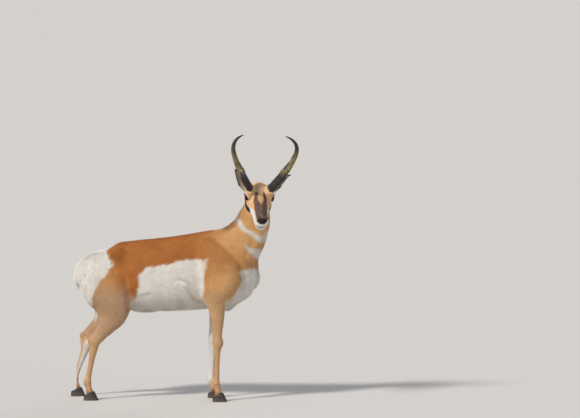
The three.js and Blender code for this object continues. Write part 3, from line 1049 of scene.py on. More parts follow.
class Pelt:
    """The coat's colour, length and lie at every point of the skin."""

    def __init__(self, anatomy: Anatomy, p: Array, normals: Array, in_head: Array) -> None:
        """Find which part each point belongs to, and dress them all.

        Args:
            anatomy: the shapes the points lie on.
            p: the points, in the animal's frame.
            normals: the way out of the skin at each.
            in_head: whether each point is of the head's mesh.
        """
        self.p, self.normals, self.in_head = p, normals, in_head
        self.local = HEAD.into(p)
        self.mirrored = self.local * (1, 0, 1) + np.abs(self.local) * (0, 1, 0)
        limbs = [anatomy.neck, *(leg.limb for leg in anatomy.legs), anatomy.tail]
        found = [limb.locate(p) for limb in limbs]
        gaps = [anatomy.trunk.distance(p)] + [oval_distance(f[1], f[2]) for f in found]
        gaps = np.stack(gaps, 1)
        # The neck gives way to the trunk a little, and the legs a little more.
        gaps[:, 1:2] += 4.0
        gaps[:, 2:6] += 6.0
        share = np.exp(-np.clip(gaps, -6.0, FAR) / PART_FADE) + 1e-12
        share[in_head] = 0.0
        self.share = np.concatenate([share, in_head[:, None].astype(float)], 1)
        self.share /= self.share.sum(1, keepdims=True)
        self.part = np.argmax(self.share, axis=1)
        self.found, self.limbs = found, limbs
        self.anatomy = anatomy
        self.wobble = wander(p, 90.0, 3) * 0.6 + wander(p, 26.0, 4) * 0.4
        self.colour = np.tile(Tone.RUST.light(), (len(p), 1))
        self.paint_body()
        self.paint_head()
        self.lie = self.comb()
        self.length, self.wide, self.lift, self.density = self.measure()

    def blend(self, tone: Tone, share: Array) -> None:
        """Lay one colour over the others by a share from 0 to 1."""
        share = np.clip(share, 0.0, 1.0)[:, None]
        self.colour = self.colour * (1 - share) + tone.light() * share

    def share_of(self, *parts: Part) -> Array:
        """How much of each point belongs to some parts, from 0 to 1."""
        return sum(self.share[:, part.value] for part in parts)

    def paint_body(self) -> None:
        """Colour the body, neck, legs and tail."""
        x, y, z = self.p.T
        trunk, neck, tail = (self.share_of(part) for part in (Part.TRUNK, Part.NECK, Part.TAIL))
        fore = self.share_of(Part.FORE_LEFT, Part.FORE_RIGHT)
        hind = self.share_of(Part.HIND_LEFT, Part.HIND_RIGHT)
        low = smoothstep(770.0, 610.0, z)
        front = smoothstep(120.0, 300.0, x)
        self.blend(Tone.TAN, front * (0.35 + 0.65 * low))
        self.blend(Tone.TAN, 0.6 * smoothstep(-200.0, -300.0, x) * low)
        spine = smoothstep(46.0, 10.0, np.abs(y)) * smoothstep(760.0, 790.0, z)
        self.blend(Tone.SPINE, 0.7 * spine * (x < 250))
        cloud = smoothstep(0.15, 1.1, wander(self.p, 150.0, 8) + 0.4 * wander(self.p, 40.0, 9))
        self.blend(Tone.SPINE, 0.4 * cloud * smoothstep(640.0, 740.0, z))
        self.blend(Tone.TAN, neck * 0.9)
        self.blend(Tone.SAND, fore * smoothstep(660.0, 500.0, z))
        self.blend(Tone.DUN, hind * smoothstep(650.0, 530.0, z))
        self.blend(Tone.SAND, hind * smoothstep(400.0, 250.0, z))
        wob = 9.0 * self.wobble
        flank = polygon_depth(np.stack([x, z], 1), FLANK) + wob
        barrel = trunk + 0.8 * hind * smoothstep(-230.0, -150.0, x)
        barrel = np.clip(1.4 * barrel + 0.6 * fore, 0, 1)
        self.blend(Tone.WHITE, smoothstep(-EDGE_FADE, EDGE_FADE, flank) * barrel)
        under = smoothstep(0.1, -0.35, self.normals[:, 2]) * smoothstep(560.0, 500.0, z)
        self.blend(Tone.WHITE, under * trunk)
        rump = np.interp(z, *zip(*RUMP_EDGE)) - x + wob
        self.blend(Tone.WHITE, smoothstep(-EDGE_FADE, EDGE_FADE, rump) * (z > 440))
        chest = x - np.interp(z, *zip(*CHEST_EDGE)) + wob * 0.7
        chest = smoothstep(-EDGE_FADE, EDGE_FADE, chest)
        chest *= np.clip(trunk + neck + fore * smoothstep(470.0, 520.0, z), 0, 1)
        below = smoothstep(CHEST_TOP + EDGE_FADE, CHEST_TOP - EDGE_FADE, z + wob)
        self.blend(Tone.WHITE, chest * below)
        # Painted shade: the lower trunk greyed in soft patches, more strongly further down.
        painted_low_shade = smoothstep(0.2, 1.0, wander(self.p, 110.0, 12)) * smoothstep(600.0, 500.0, z)
        self.blend(Tone.DUSK, 0.4 * painted_low_shade * trunk * (np.abs(x) < 240))
        # Painted shade in the fold behind the elbow.
        elbow_shade = polygon_depth(np.stack([x, z], 1), ELBOW_SHADE) + 0.6 * wob
        self.blend(Tone.DUSK, 0.45 * smoothstep(-EDGE_FADE, EDGE_FADE, elbow_shade) * trunk)
        self.paint_legs()
        self.paint_neck()
        place, along, _ = self.found[5]
        median = smoothstep(15.0, 9.0, np.abs(along[:, 1])) * (x < -455 + 0.3 * (700 - z))
        median = tail * smoothstep(0.8, 0.6, place) * median
        self.blend(Tone.RUST, median * (self.normals[:, 0] < 0.1))

    def paint_legs(self) -> None:
        """The legs' white inner sides, and the darker pasterns."""
        z = self.p[:, 2]
        for k, leg in enumerate(self.anatomy.legs):
            _, along, size = self.found[1 + k]
            inner = along[:, 1] * leg.side.value / size[:, 1]
            back = -along[:, 0] / size[:, 0]
            if not leg.fore:
                back = -0.6 * back
            share = self.share[:, 2 + k]
            shown = 0.15 if leg.fore else 0.15 + 0.45 * smoothstep(430.0, 330.0, z)
            white = smoothstep(0.0, 0.35, inner + 0.35 * back + 0.08 * self.wobble - shown)
            self.blend(Tone.WHITE, share * white * smoothstep(50.0, 110.0, z))
            self.blend(Tone.MANE, 0.5 * share * smoothstep(64.0, 44.0, z))

    def paint_neck(self) -> None:
        """The white bands across the throat, and the dark mane."""
        place, along, _ = self.found[0]
        degrees = np.abs(np.degrees(np.arctan2(along[:, 1], along[:, 0])))
        neck = self.share_of(Part.NECK)
        share = neck + 0.7 * self.share_of(Part.TRUNK) * (self.p[:, 2] > 640)
        for outline in (CRESCENT, THROAT_PATCH):
            depth = polygon_depth(self.p[:, (0, 2)], outline) + 6.0 * self.wobble
            self.blend(Tone.WHITE, share * smoothstep(-5.0, 5.0, depth))
        nape = smoothstep(150.0, 172.0, degrees) * smoothstep(0.1, 0.3, place)
        nape *= smoothstep(0.99, 0.8, place)
        self.blend(Tone.MANE, 0.75 * neck * nape)

    def paint_head(self) -> None:
        """The face: mask, cheeks, dark lips with painted shade along the mouth's crease, brow and the
        dark patch of the jaw.
        """
        q = self.local
        x, y, z = q[:, 0], np.abs(q[:, 1]), q[:, 2]
        wob = 3.0 * self.wobble
        on = self.in_head.astype(float)
        self.blend(Tone.TAN, on)
        self.blend(Tone.BUFF, on * 0.8 * smoothstep(95.0, 20.0, x) * smoothstep(-40.0, 0.0, z))
        line = np.interp(x, (-90, -20, 50, 90, 130, 175, 210), (-60, -50, -26, -13, -3, 7, 4))
        white = smoothstep(-5.0, 5.0, line - z + wob)
        self.blend(Tone.WHITE, on * white * smoothstep(-60.0, -40.0, x))
        self.blend(Tone.WHITE, on * in_oval(q, (40, 0, -90), (70, 30, 40), 1.2, 0.8))
        patch = (np.stack([x, y, z + 0.12 * x], 1) - (-10, 56, -62)) / (64, 24, 21)
        depth = 1.0 - np.linalg.norm(patch, axis=1) + 0.02 * wob
        self.blend(Tone.BLACK, on * smoothstep(-0.1, 0.12, depth))
        tear = np.abs(z + 22 + 0.32 * (x - 12)) - 5 + 0.5 * wob
        tear = smoothstep(3.0, -3.0, tear) * (y > 46) * (x < 34) * (x > -30)
        self.blend(Tone.MASK, on * 0.65 * tear)
        wide = np.interp(x, (2, 20, 57, 131, 180, 212), (22, 29, 33, 32, 30, 29))
        mask = smoothstep(-4.0, 4.0, wide - y + wob) * smoothstep(-26.0, -14.0, z)
        mask *= smoothstep(0.0, 22.0, x + wob) * smoothstep(-14.0, 4.0, z - 16 + 0.14 * x)
        stripe = smoothstep(-3.0, 3.0, np.interp(x, (10, 78, 122), (14, 12, -4)) - y + 0.6 * wob)
        self.blend(Tone.MASK, on * mask * (1 - 0.85 * stripe))
        flecks = smoothstep(0.0, 1.2, wander(q * (0.4, 1, 1), 16.0, 31))
        self.blend(Tone.DUN, on * 0.22 * mask * flecks)
        self.blend(Tone.BUFF, on * in_oval(q, (-24, 0, 38), (34, 36, 26), 1.2, 0.85))
        self.blend(Tone.MANE, on * 0.4 * smoothstep(-70.0, -96.0, x) * smoothstep(10.0, 24.0, z))
        ear_base = in_oval(self.mirrored, (-58, 54, 14), (22, 18, 24), 1.2, 0.9)
        self.blend(Tone.CREAM, on * 0.7 * ear_base)
        ring = self.from_lid()
        opening = EyeOpening(tuple(EYE_AT), tuple(unit(GAZE))).distance(self.mirrored)
        rim = on * smoothstep(3.6, 1.6, opening) * smoothstep(6.0, 3.0, ring)
        halo = on * smoothstep(14.0, 5.0, ring) * smoothstep(6.0, -8.0, z)
        self.blend(Tone.CREAM, 0.55 * halo)
        self.blend(Tone.NOSE, rim)
        nose = on * in_oval(q, (207, 0, -9), (17, 28, 15), 1.12, 0.92)
        self.blend(Tone.NOSE, nose)
        # The dark lips, painted black together with the shade of the mouth's crease.
        mouth = np.abs(z + 46 + 0.05 * np.maximum(160 - x, 0)) - 3.0
        lips_and_mouth_shade = on * smoothstep(1.6, -1.0, mouth) * (x > 128)
        self.blend(Tone.BLACK, 0.9 * lips_and_mouth_shade)
        self.bare = np.clip(nose + rim + 0.8 * lips_and_mouth_shade, 0, 1)

    def comb(self) -> Array:
        """The way the hair points at each point, along the skin.

        Returns:
            One unit row for each point.
        """
        x, y, z = self.p.T
        down = smoothstep(30.0, 110.0, np.abs(y)) * smoothstep(480.0, 560.0, z)
        front = smoothstep(250.0, 380.0, x)
        trunk = np.stack([-1.0 + 0.6 * front, 0 * x, -0.12 - 0.4 * down - 1.0 * front], 1)
        ways = [unit(trunk)]
        for limb, sign, (place, _, _) in zip(self.limbs, (-1, 1, 1, 1, 1, 1), self.found):
            i = np.rint(place * (Limb.SAMPLES - 1)).astype(int)
            ways.append(sign * limb.tangent[i])
        for k in (2, 3, 4, 5):
            high = smoothstep(470.0, 640.0, z)[:, None]
            ways[k] = unit(ways[k] + high * np.array((-0.9, 0, -0.1)))
        side = np.sign(self.local[:, 1:2]) * smoothstep(10.0, 40.0, np.abs(self.local[:, 1:2]))
        face = np.concatenate([0 * side - 1.0, 0.35 * side, 0 * side - 0.25], 1)
        brow = in_oval(self.local, (-20, 0, 44), (40, 40, 30), 1.4, 0.6)
        face = face + brow[:, None] * np.array((-0.2, 0.0, 0.5))
        ways.append(face @ HEAD.turn.T)
        way = sum(w * s[:, None] for w, s in zip(ways, self.share.T))
        way = way + 0.22 * np.stack([wander(self.p, 120.0, 20 + k) for k in range(3)], 1)
        flat = way - self.normals * (way * self.normals).sum(1, keepdims=True)
        return unit(flat)

    def measure(self) -> tuple[Array, Array, Array, Array]:
        """The hair's length and width, how far it stands off, and how many locks there are.

        Returns:
            The four measures, a number each for every point.
        """
        x, _, z = self.p.T
        q = self.local
        named = (Part.TRUNK, Part.NECK, Part.TAIL, Part.HEAD)
        trunk, neck, tail, head = (self.share_of(part) for part in named)
        legs = self.share[:, Part.FORE_LEFT.value : Part.TAIL.value].sum(1)
        upper = smoothstep(330.0, 560.0, z)
        length = 20 * trunk + 21 * neck + 19 * tail + legs * (9 + 10 * upper) + 8.0 * head
        wide = 2.6 * trunk + 2.2 * neck + 2.4 * tail + legs * (1.8 + 0.8 * upper) + 1.3 * head
        lift = 0.16 * trunk + 0.18 * neck + 0.22 * tail + legs * 0.18 + 0.18 * head
        density = trunk + 1.25 * neck + 1.6 * tail + legs * (1.7 - 0.6 * upper) + 3.6 * head
        rump = smoothstep(-310.0, -400.0, x) * smoothstep(470.0, 560.0, z)
        rump *= 1 - tail
        length += 12 * rump
        lift += 0.12 * rump
        belly = smoothstep(500.0, 470.0, z) * trunk
        length += 6 * belly
        chest = smoothstep(350.0, 410.0, x) * smoothstep(720.0, 640.0, z) * trunk
        length += 8 * chest
        place, along, _ = self.found[0]
        degrees = np.abs(np.degrees(np.arctan2(along[:, 1], along[:, 0])))
        nape = neck * smoothstep(148.0, 170.0, degrees)
        length += 14 * nape * smoothstep(0.15, 0.4, place) * smoothstep(1.0, 0.85, place)
        lift += 0.16 * nape
        face = head * smoothstep(-70.0, 60.0, q[:, 0])
        length -= 2.0 * face
        muzzle = head * smoothstep(120.0, 180.0, q[:, 0])
        length -= 2.6 * muzzle
        wide -= 0.4 * muzzle
        jaw = head * smoothstep(-20.0, -70.0, q[:, 0])
        length += 9 * jaw
        wide += 0.8 * jaw
        brow = head * in_oval(q, (-26, 0, 42), (34, 34, 26), 1.1, 0.6)
        length += 7 * brow
        lift += 0.24 * brow
        near_eye = head * smoothstep(18.0, 4.0, self.from_lid())
        length -= 2.0 * near_eye
        lift -= 0.08 * near_eye
        lap = np.abs((q - CUT_AT) @ CUT_FACING) < 2.0 * CUT_LAP
        cap = lap & (np.abs(self.normals @ (HEAD.turn @ CUT_FACING)) > 0.5)
        density = density * (self.bare < 0.4) * (z > 30.0) * ~cap
        return np.maximum(length, 3.0), wide, lift, density

    def from_lid(self) -> Array:
        """How far each point lies from the nearer eyelid."""
        return np.linalg.norm(self.mirrored - EYE_AT, axis=1) - LID_RADIUS


# The ears: root, tips and the way each faces, in the head's frame. The y runs outwards.
EAR_ROOT = (-62.0, 52.0, 4.0)
EAR_TIP = {Side.LEFT: (-80.0, 155.0, 91.0), Side.RIGHT: (-80.0, 127.0, 113.0)}
EAR_FACING = {Side.LEFT: (0.75, 0.45, -0.3), Side.RIGHT: (0.9, 0.3, -0.1)}
EAR_WIDTH = ((0.0, 15.0), (0.15, 19.0), (0.38, 25.0), (0.6, 23.0), (0.82, 14.0), (1.0, 1.5))
EAR_CURL = ((0.0, 2.7), (0.2, 2.2), (0.5, 1.55), (0.8, 1.1), (1.0, 0.7))
EAR_SKIN = 2.6


def read_mesh(bm: bmesh.types.BMesh) -> tuple[Array, Array]:
    """The points and faces of a mesh being edited, which is then given up.

    Args:
        bm: the mesh.

    Returns:
        The points and the faces.
    """
    bm.verts.index_update()
    points = np.array([v.co[:] for v in bm.verts])
    faces = np.array([[v.index for v in f.verts] for f in bm.faces])
    bm.free()
    return points, faces


class Ear:
    """One ear: a rolled leaf, open on the side it faces."""

    def __init__(self, side: Side) -> None:
        """Find the ear's own axes, in the animal's frame."""
        outward = np.array((1.0, side.value, 1.0))
        root, tip = np.array(EAR_ROOT) * outward, np.array(EAR_TIP[side]) * outward
        self.side = side
        self.root = HEAD.out(root)
        self.length = float(np.linalg.norm(tip - root))
        self.along = unit(tip - root) @ HEAD.turn.T
        facing = unit(np.array(EAR_FACING[side]) * outward) @ HEAD.turn.T
        self.across = unit(np.cross(self.along, facing))
        self.open = unit(np.cross(self.across, self.along))

    def leaf(self, u: Array, t: Array) -> Array:
        """Points of the leaf.

        Args:
            u: the place across it, from -1 to 1.
            t: the place along it, from 0 at the root to 1.

        Returns:
            The points, in the animal's frame.
        """
        wide = np.interp(t, *zip(*EAR_WIDTH))
        curl = np.interp(t, *zip(*EAR_CURL))
        radius = wide / np.sin(np.minimum(curl, math.pi / 2))
        bow = 5.0 * np.sin(math.pi * t) - 5.0 * t**3
        deep = radius * (0.45 - np.cos(u * curl)) - bow
        return (
            self.root
            + np.outer(t * self.length, self.along)
            + np.outer(radius * np.sin(u * curl), self.across)
            + np.outer(deep, self.open)
        )

    def build(self) -> tuple[Array, Array, Array]:
        """Model the ear as a leaf with a skin's thickness.

        Returns:
            Its points, its faces, and for each point the place across and along the leaf, with
            whether it lies on the inner side.
        """
        bm = bmesh.new()
        bmesh.ops.create_grid(bm, x_segments=30, y_segments=34, size=1.0)
        flat = np.array([v.co[:] for v in bm.verts])
        u, t = flat[:, 0], (flat[:, 1] + 1.0) / 2.0
        for vert, spot in zip(bm.verts, self.leaf(u, t)):
            vert.co = spot
        bm.normal_update()
        before = len(bm.verts)
        bmesh.ops.solidify(bm, geom=bm.faces[:], thickness=EAR_SKIN)
        bmesh.ops.recalc_face_normals(bm, faces=bm.faces[:])
        points, faces = read_mesh(bm)
        own = [(u, t), (u[: len(points) - before], t[: len(points) - before])]
        u, t = (np.concatenate(pair) for pair in zip(*own))
        middle = self.leaf(u, t)
        toward = ((points - middle) * self.open).sum(1)
        outer = toward < np.median(toward)
        return points, faces, np.stack([u, t, ~outer], 1)

    def lie(self, count: int) -> Array:
        """The way the ear's hair points, once for each of its points."""
        return np.tile(self.along, (count, 1))

    def paint(self, place: Array) -> Array:
        """The ear's colours, from the places that build gives.

        Args:
            place: what build tells of each point.

        Returns:
            The colours, as light.
        """
        u, t, inner = place.T
        inner = inner > 0.5
        cream, rim, back = (tone.light() for tone in (Tone.CREAM, Tone.EAR_RIM, Tone.TAN))
        colour = np.where(inner[:, None], cream, back)
        # Painted shade: the hollow of the inner ear darkened in its middle, about a third of the way
        # up.
        deep = np.exp(-((u / 0.45) ** 2)) * np.exp(-(((t - 0.3) / 0.28) ** 2)) * inner
        colour = colour + (rim * 3.0 - colour) * 0.55 * deep[:, None]
        streak = (np.abs(np.abs(u) - 0.55) < 0.12) & inner & (t > 0.1) & (t < 0.75)
        colour = colour + (Tone.WHITE.light() - colour) * 0.7 * streak[:, None]
        edge = smoothstep(0.86, 0.97, np.maximum(np.abs(u), t * 1.02)) * smoothstep(0.12, 0.35, t)
        edge = np.maximum(edge, smoothstep(0.86, 0.95, t))
        return colour + (rim - colour) * edge[:, None]


class Skin:
    """The one skin under the whole coat, with all that the coat takes from it."""

    def __init__(self) -> None:
        """Model it, dress it, and label its points."""
        self.anatomy = Anatomy()
        body, body_faces = self.body()
        head, head_faces = self.head()
        self.points = np.concatenate([body, head])
        self.faces = np.concatenate([body_faces, head_faces + len(body)])
        self.normals = normals_of(self.points, self.faces)
        in_head = np.arange(len(self.points)) >= len(body)
        pelt = Pelt(self.anatomy, self.points, self.normals, in_head)
        self.part, self.colour, self.lie = pelt.part, pelt.colour, pelt.lie
        self.length, self.wide, self.lift = pelt.length, pelt.wide, pelt.lift
        self.density, self.bare = pelt.density, pelt.bare
        self.chart = self.unwrap(pelt)
        for side in Side:
            self.add_ear(Ear(side))

    def body(self) -> tuple[Array, Array]:
        """The skin behind the cut: trunk, neck, legs and tail.

        Returns:
            Its points and its faces.
        """
        axes = [np.arange(a, b, BODY_GRID) for a, b in zip(*BODY_BOX)]
        d = self.anatomy.clay.on_grid(axes)
        high = int(np.searchsorted(axes[2], CUT_FLOOR))
        p, shape = grid_points((axes[0], axes[1], axes[2][high:]))
        ahead = ((HEAD.into(p) - CUT_AT) @ CUT_FACING - CUT_LAP).reshape(shape)
        d[:, :, high:] = np.maximum(d[:, :, high:], ahead)
        points, faces = mesh_of(d, np.array([a[0] for a in axes]), BODY_GRID)
        return smoothed(points, faces, BODY_ROUNDS), faces

    def head(self) -> tuple[Array, Array]:
        """The skin ahead of the cut, on a finer grid.

        Returns:
            Its points and its faces.
        """
        axes = [np.arange(a, b, HEAD_GRID) for a, b in zip(*HEAD_BOX)]
        d = self.anatomy.clay.on_grid(axes, in_head=True)
        parts = np.meshgrid(*axes, indexing="ij")
        behind = sum((part - at) * way for part, at, way in zip(parts, CUT_AT, CUT_FACING))
        d = np.maximum(d, -behind - CUT_LAP)
        d[:, :, 0] = np.maximum(d[:, :, 0], 1.0)
        points, faces = mesh_of(d, np.array([a[0] for a in axes]), HEAD_GRID)
        return HEAD.out(smoothed(points, faces, HEAD_ROUNDS)), faces

    def unwrap(self, pelt: Pelt) -> Array:
        """Each point's place on a flat map of its own part, unrolled round the part's middle line.

        Args:
            pelt: the skin's parts and places.

        Returns:
            Two numbers for each point.
        """
        x, y, z = self.points.T
        chart = np.stack([x / 1000.0, np.arctan2(y, z - 640.0) / math.tau], 1)
        for k, (place, along, _) in enumerate(pelt.found):
            own = self.part == 1 + k
            turn = np.arctan2(along[:, 1], along[:, 0]) / math.tau
            chart[own] = np.stack([place, turn], 1)[own]
        q = pelt.local
        own = self.part == Part.HEAD.value
        turn = np.arctan2(q[:, 1], q[:, 2] + 25.0) / math.tau
        chart[own] = np.stack([q[:, 0] / 340.0, turn], 1)[own]
        return chart

    def add_ear(self, ear: Ear) -> None:
        """Join an ear on, with its own colours and hair.

        Args:
            ear: the ear.
        """
        points, faces, place = ear.build()
        label = Part.EAR_LEFT if ear.side is Side.LEFT else Part.EAR_RIGHT
        count, inner, t = len(points), place[:, 2] > 0.5, place[:, 1]
        normals = normals_of(points, faces)
        lie = unit(ear.lie(count) - normals * (ear.lie(count) * normals).sum(1, keepdims=True))
        self.faces = np.concatenate([self.faces, faces + len(self.points)])
        self.points = np.concatenate([self.points, points])
        self.normals = np.concatenate([self.normals, normals])
        self.colour = np.concatenate([self.colour, ear.paint(place)])
        self.lie = np.concatenate([self.lie, lie])
        self.part = np.concatenate([self.part, np.full(count, label.value)])
        chart = np.stack([place[:, 0] * 0.24 + 0.5 * inner, t], 1)
        self.chart = np.concatenate([self.chart, chart])
        new = {
            "length": np.where(inner, 11.0, 6.5) * (1.0 - 0.35 * t),
            "wide": np.full(count, 1.25),
            "lift": np.where(inner, 0.42, 0.16),
            "density": 3.4 * (t > 0.03) * np.where(inner, 0.8, 1.0),
            "bare": np.zeros(count),
        }
        for name, values in new.items():
            setattr(self, name, np.concatenate([getattr(self, name), values]))

    def build(self, finish: "SkinFinish") -> bpy.types.Object:
        """Make the skin's object, coloured, in place of every piece of flesh.

        Args:
            finish: its material.

        Returns:
            The skin's object.
        """
        skin = new_object("skin", self.points, self.faces)
        # Painted shade: the skin under the coat is darkened to 0.82 of its colour, and the bare skin
        # is not.
        shade = 0.82 + 0.18 * smoothstep(0.0, 1.0, self.bare)
        add_colours(skin, "Coat", self.colour * shade[:, None])
        mask = np.stack([self.bare, np.abs(self.lie[:, 2]), 0 * self.bare], 1)
        add_colours(skin, "Ways", mask)
        skin.data.materials.append(finish.build())
        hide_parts(*FLESH)
        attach(skin, "root")
        return skin


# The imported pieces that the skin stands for.
FLESH = (
    "trunk", "tail", "neck", "head", "ear_left", "ear_right",
    "fore_left_shoulder", "fore_left_forearm", "fore_left_cannon",
    "fore_right_shoulder", "fore_right_forearm", "fore_right_cannon",
    "hind_left_thigh", "hind_left_gaskin", "hind_left_cannon",
    "hind_right_thigh", "hind_right_gaskin", "hind_right_cannon",
)


def new_object(name: str, points: Array, faces: Array) -> bpy.types.Object:
    """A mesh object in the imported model's frame, shaded smooth.

    Args:
        name: its name.
        points: its points, in millimetres in the animal's frame.
        faces: its faces, all with the same number of corners.

    Returns:
        The new object.
    """
    mesh = bpy.data.meshes.new(name)
    mesh.vertices.add(len(points))
    mesh.vertices.foreach_set("co", ((points - MIDDLE) * MM).astype(np.float32).ravel())
    corners = faces.shape[1]
    mesh.loops.add(faces.size)
    mesh.loops.foreach_set("vertex_index", faces.astype(np.int32).ravel())
    mesh.polygons.add(len(faces))
    mesh.polygons.foreach_set("loop_start", np.arange(0, faces.size, corners, dtype=np.int32))
    mesh.polygons.foreach_set("use_smooth", np.ones(len(faces), bool))
    mesh.update(calc_edges=True)
    thing = bpy.data.objects.new(name, mesh)
    bpy.context.scene.collection.objects.link(thing)
    return thing


def add_colours(thing: bpy.types.Object, name: str, colours: Array) -> None:
    """Give an object's points a colour each, under a name that materials read.

    Args:
        thing: the object.
        name: the name.
        colours: one row for each point, as light.
    """
    layer = thing.data.color_attributes.new(name, "FLOAT_COLOR", "POINT")
    rows = np.concatenate([np.clip(colours, 0.0, 1.0), np.ones((len(colours), 1))], 1)
    layer.data.foreach_set("color", rows.astype(np.float32).ravel())


@dataclass(frozen=True)
class Locks:
    """The coat: locks of hair, each a thin closed spike that follows the lie of the skin.

    A short lock has one length, and a long one bends at its middle. The thickness and the bow are
    shares of a lock's width and length.
    """

    count: int = 312_000
    bend_from: float = 27.0
    patch: float = 0.003
    most: int = 46_000
    root_depth: float = 1.2
    stray: float = 0.55
    thickness: float = 0.2
    bow: float = 0.09
    middle_width: float = 0.42
    round_off: float = 0.4

    def roots(self, skin: Skin) -> dict[str, Array]:
        """Choose the locks' roots over the whole skin, evenly for their density.

        Args:
            skin: the dressed skin.

        Returns:
            What each lock takes from the skin at its root, by name.
        """
        rng = np.random.default_rng(SEED)
        f, p = skin.faces, skin.points
        area = np.linalg.norm(np.cross(p[f[:, 2]] - p[f[:, 0]], p[f[:, 3]] - p[f[:, 1]]), axis=1)
        total = np.cumsum(area * skin.density[f].mean(1))
        pick = (np.arange(self.count) + rng.random(self.count)) * total[-1] / self.count
        face = np.minimum(np.searchsorted(total, pick), len(f) - 1)
        a, b = rng.random((2, self.count))
        weight = np.stack([(1 - a) * (1 - b), a * (1 - b), a * b, (1 - a) * b], 1)
        corners = f[face]

        def at(values: Array) -> Array:
            """The skin's values at the roots."""
            rows = values[corners]
            return (rows * weight.reshape(weight.shape + (1,) * (rows.ndim - 2))).sum(1)

        found = {
            name: at(getattr(skin, name))
            for name in ("points", "normals", "lie", "colour", "length", "wide", "lift")
        }
        chart = at(skin.chart)
        split = np.ptp(skin.chart[corners][:, :, 1], axis=1) > 0.4
        chart[split] = skin.chart[corners[split, 0]]
        found |= {"chart": chart, "part": skin.part[corners[:, 0]]}
        found["normals"], found["lie"] = unit(found["normals"]), unit(found["lie"])
        return found | {"luck": rng.random((self.count, 4))}

    def shape(self, root: dict[str, Array], bent: bool) -> tuple[Array, Array, Array, Array]:
        """Model one set of locks.

        Args:
            root: what each takes from the skin.
            bent: whether they bend at the middle.

        Returns:
            The points (lock by lock), the faces, the colours, and the way each point faces.
        """
        n, luck = root["normals"], root["luck"]
        length = (root["length"] * (0.75 + 0.5 * luck[:, 0]))[:, None]
        wide = (root["wide"] * (0.8 + 0.4 * luck[:, 1]))[:, None]
        across = unit(np.cross(n, root["lie"]))
        way = unit(root["lie"] + across * (luck[:, 2:3] - 0.5) * self.stray)
        across = unit(np.cross(n, way))
        lift = (root["lift"] * (0.6 + 0.8 * luck[:, 3]))[:, None]
        start = root["points"] - n * self.root_depth
        tip = start + way * length * np.cos(lift) + n * (length * np.sin(lift) + self.root_depth)
        thick = wide * self.thickness
        half = across * wide / 2
        rows = [start + half, start - half, start + n * thick - way * thick]
        faces = [(0, 1, 2), (0, 3, 1), (1, 3, 2), (2, 3, 0)]
        # Painted shade darkens each lock towards its root, and a painted highlight lightens its ridge
        # and tip.
        painted_shading = [0.86, 0.86, 0.9, 1.08]
        if bent:
            middle = (start + tip) / 2 + n * length * self.bow
            half = across * wide * self.middle_width
            rows += [middle + half, middle - half, middle + n * thick]
            faces = [(0, 1, 2), (0, 4, 1), (0, 3, 4), (1, 5, 2), (1, 4, 5), (2, 3, 0), (2, 5, 3),
                     (3, 6, 4), (4, 6, 5), (5, 6, 3)]
            # The same painted shade and highlight, from a bent lock's root through its middle to its
            # tip.
            painted_shading = [0.8, 0.8, 0.84, 0.96, 0.96, 1.0, 1.1]
        points = np.stack([*rows, tip], 1)
        size = points.shape[1]
        tint = (0.9 + 0.2 * luck[:, 1:2]) * np.array(painted_shading)
        colours = root["colour"][:, None, :] * tint[:, :, None]
        facing = np.repeat(n[:, None, :], size, 1)
        facing[:, 0] += across * self.round_off
        facing[:, 1] -= across * self.round_off
        faces = np.array(faces)[None] + (np.arange(len(n)) * size)[:, None, None]
        return (
            points.reshape(-1, 3), faces.reshape(-1, 3),
            colours.reshape(-1, 3), unit(facing).reshape(-1, 3),
        )

    def piece(self, name: str, root: dict[str, Array], finish: "CoatFinish") -> None:
        """Make one piece of the coat.

        Args:
            name: its name.
            root: what each lock takes from the skin.
            finish: its material.
        """
        bent = root["length"] > self.bend_from
        sets, charts, start = [], [], 0
        for kind in (False, True):
            own = {key: values[bent == kind] for key, values in root.items()}
            if not len(own["wide"]):
                continue
            points, faces, colours, facing = self.shape(own, kind)
            sets.append((points, faces + start, colours, facing))
            charts.append((own["chart"], len(points) // len(own["wide"])))
            start += len(points)
        points, faces, colours, facing = (np.concatenate(part) for part in zip(*sets))
        coat = new_object(name, points, faces)
        add_colours(coat, "Coat", colours)
        coat.data.normals_split_custom_set_from_vertices(facing.astype(np.float32))
        self.lay_out(coat, charts, faces)
        coat.data.materials.append(finish.build())
        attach(coat, "root")
        LOG.info("%s: %d locks, %d triangles", name, len(root["wide"]), len(faces))

    def lay_out(self, coat: bpy.types.Object, charts: list[tuple], faces: Array) -> None:
        """Give each lock a small patch of the map at its root's place on the skin.

        Args:
            coat: the piece of the coat.
            charts: for each set, the roots' places and how many points a lock has.
            faces: the piece's faces.
        """
        every = np.concatenate([chart for chart, _ in charts])
        low, high = every.min(0), every.max(0)
        rows = []
        for chart, size in charts:
            at = (chart - low) / (high - low) * (1.0 - 2 * self.patch) + self.patch
            angle = np.arange(size) * math.tau / size
            ring = np.stack([np.cos(angle), np.sin(angle)], 1) * self.patch / 2
            rows.append((at[:, None, :] + ring[None]).reshape(-1, 2))
        spots = np.concatenate(rows)[faces.ravel()]
        layer = coat.data.uv_layers.new(name="OFBake")
        layer.uv.foreach_set("vector", spots.astype(np.float32).ravel())

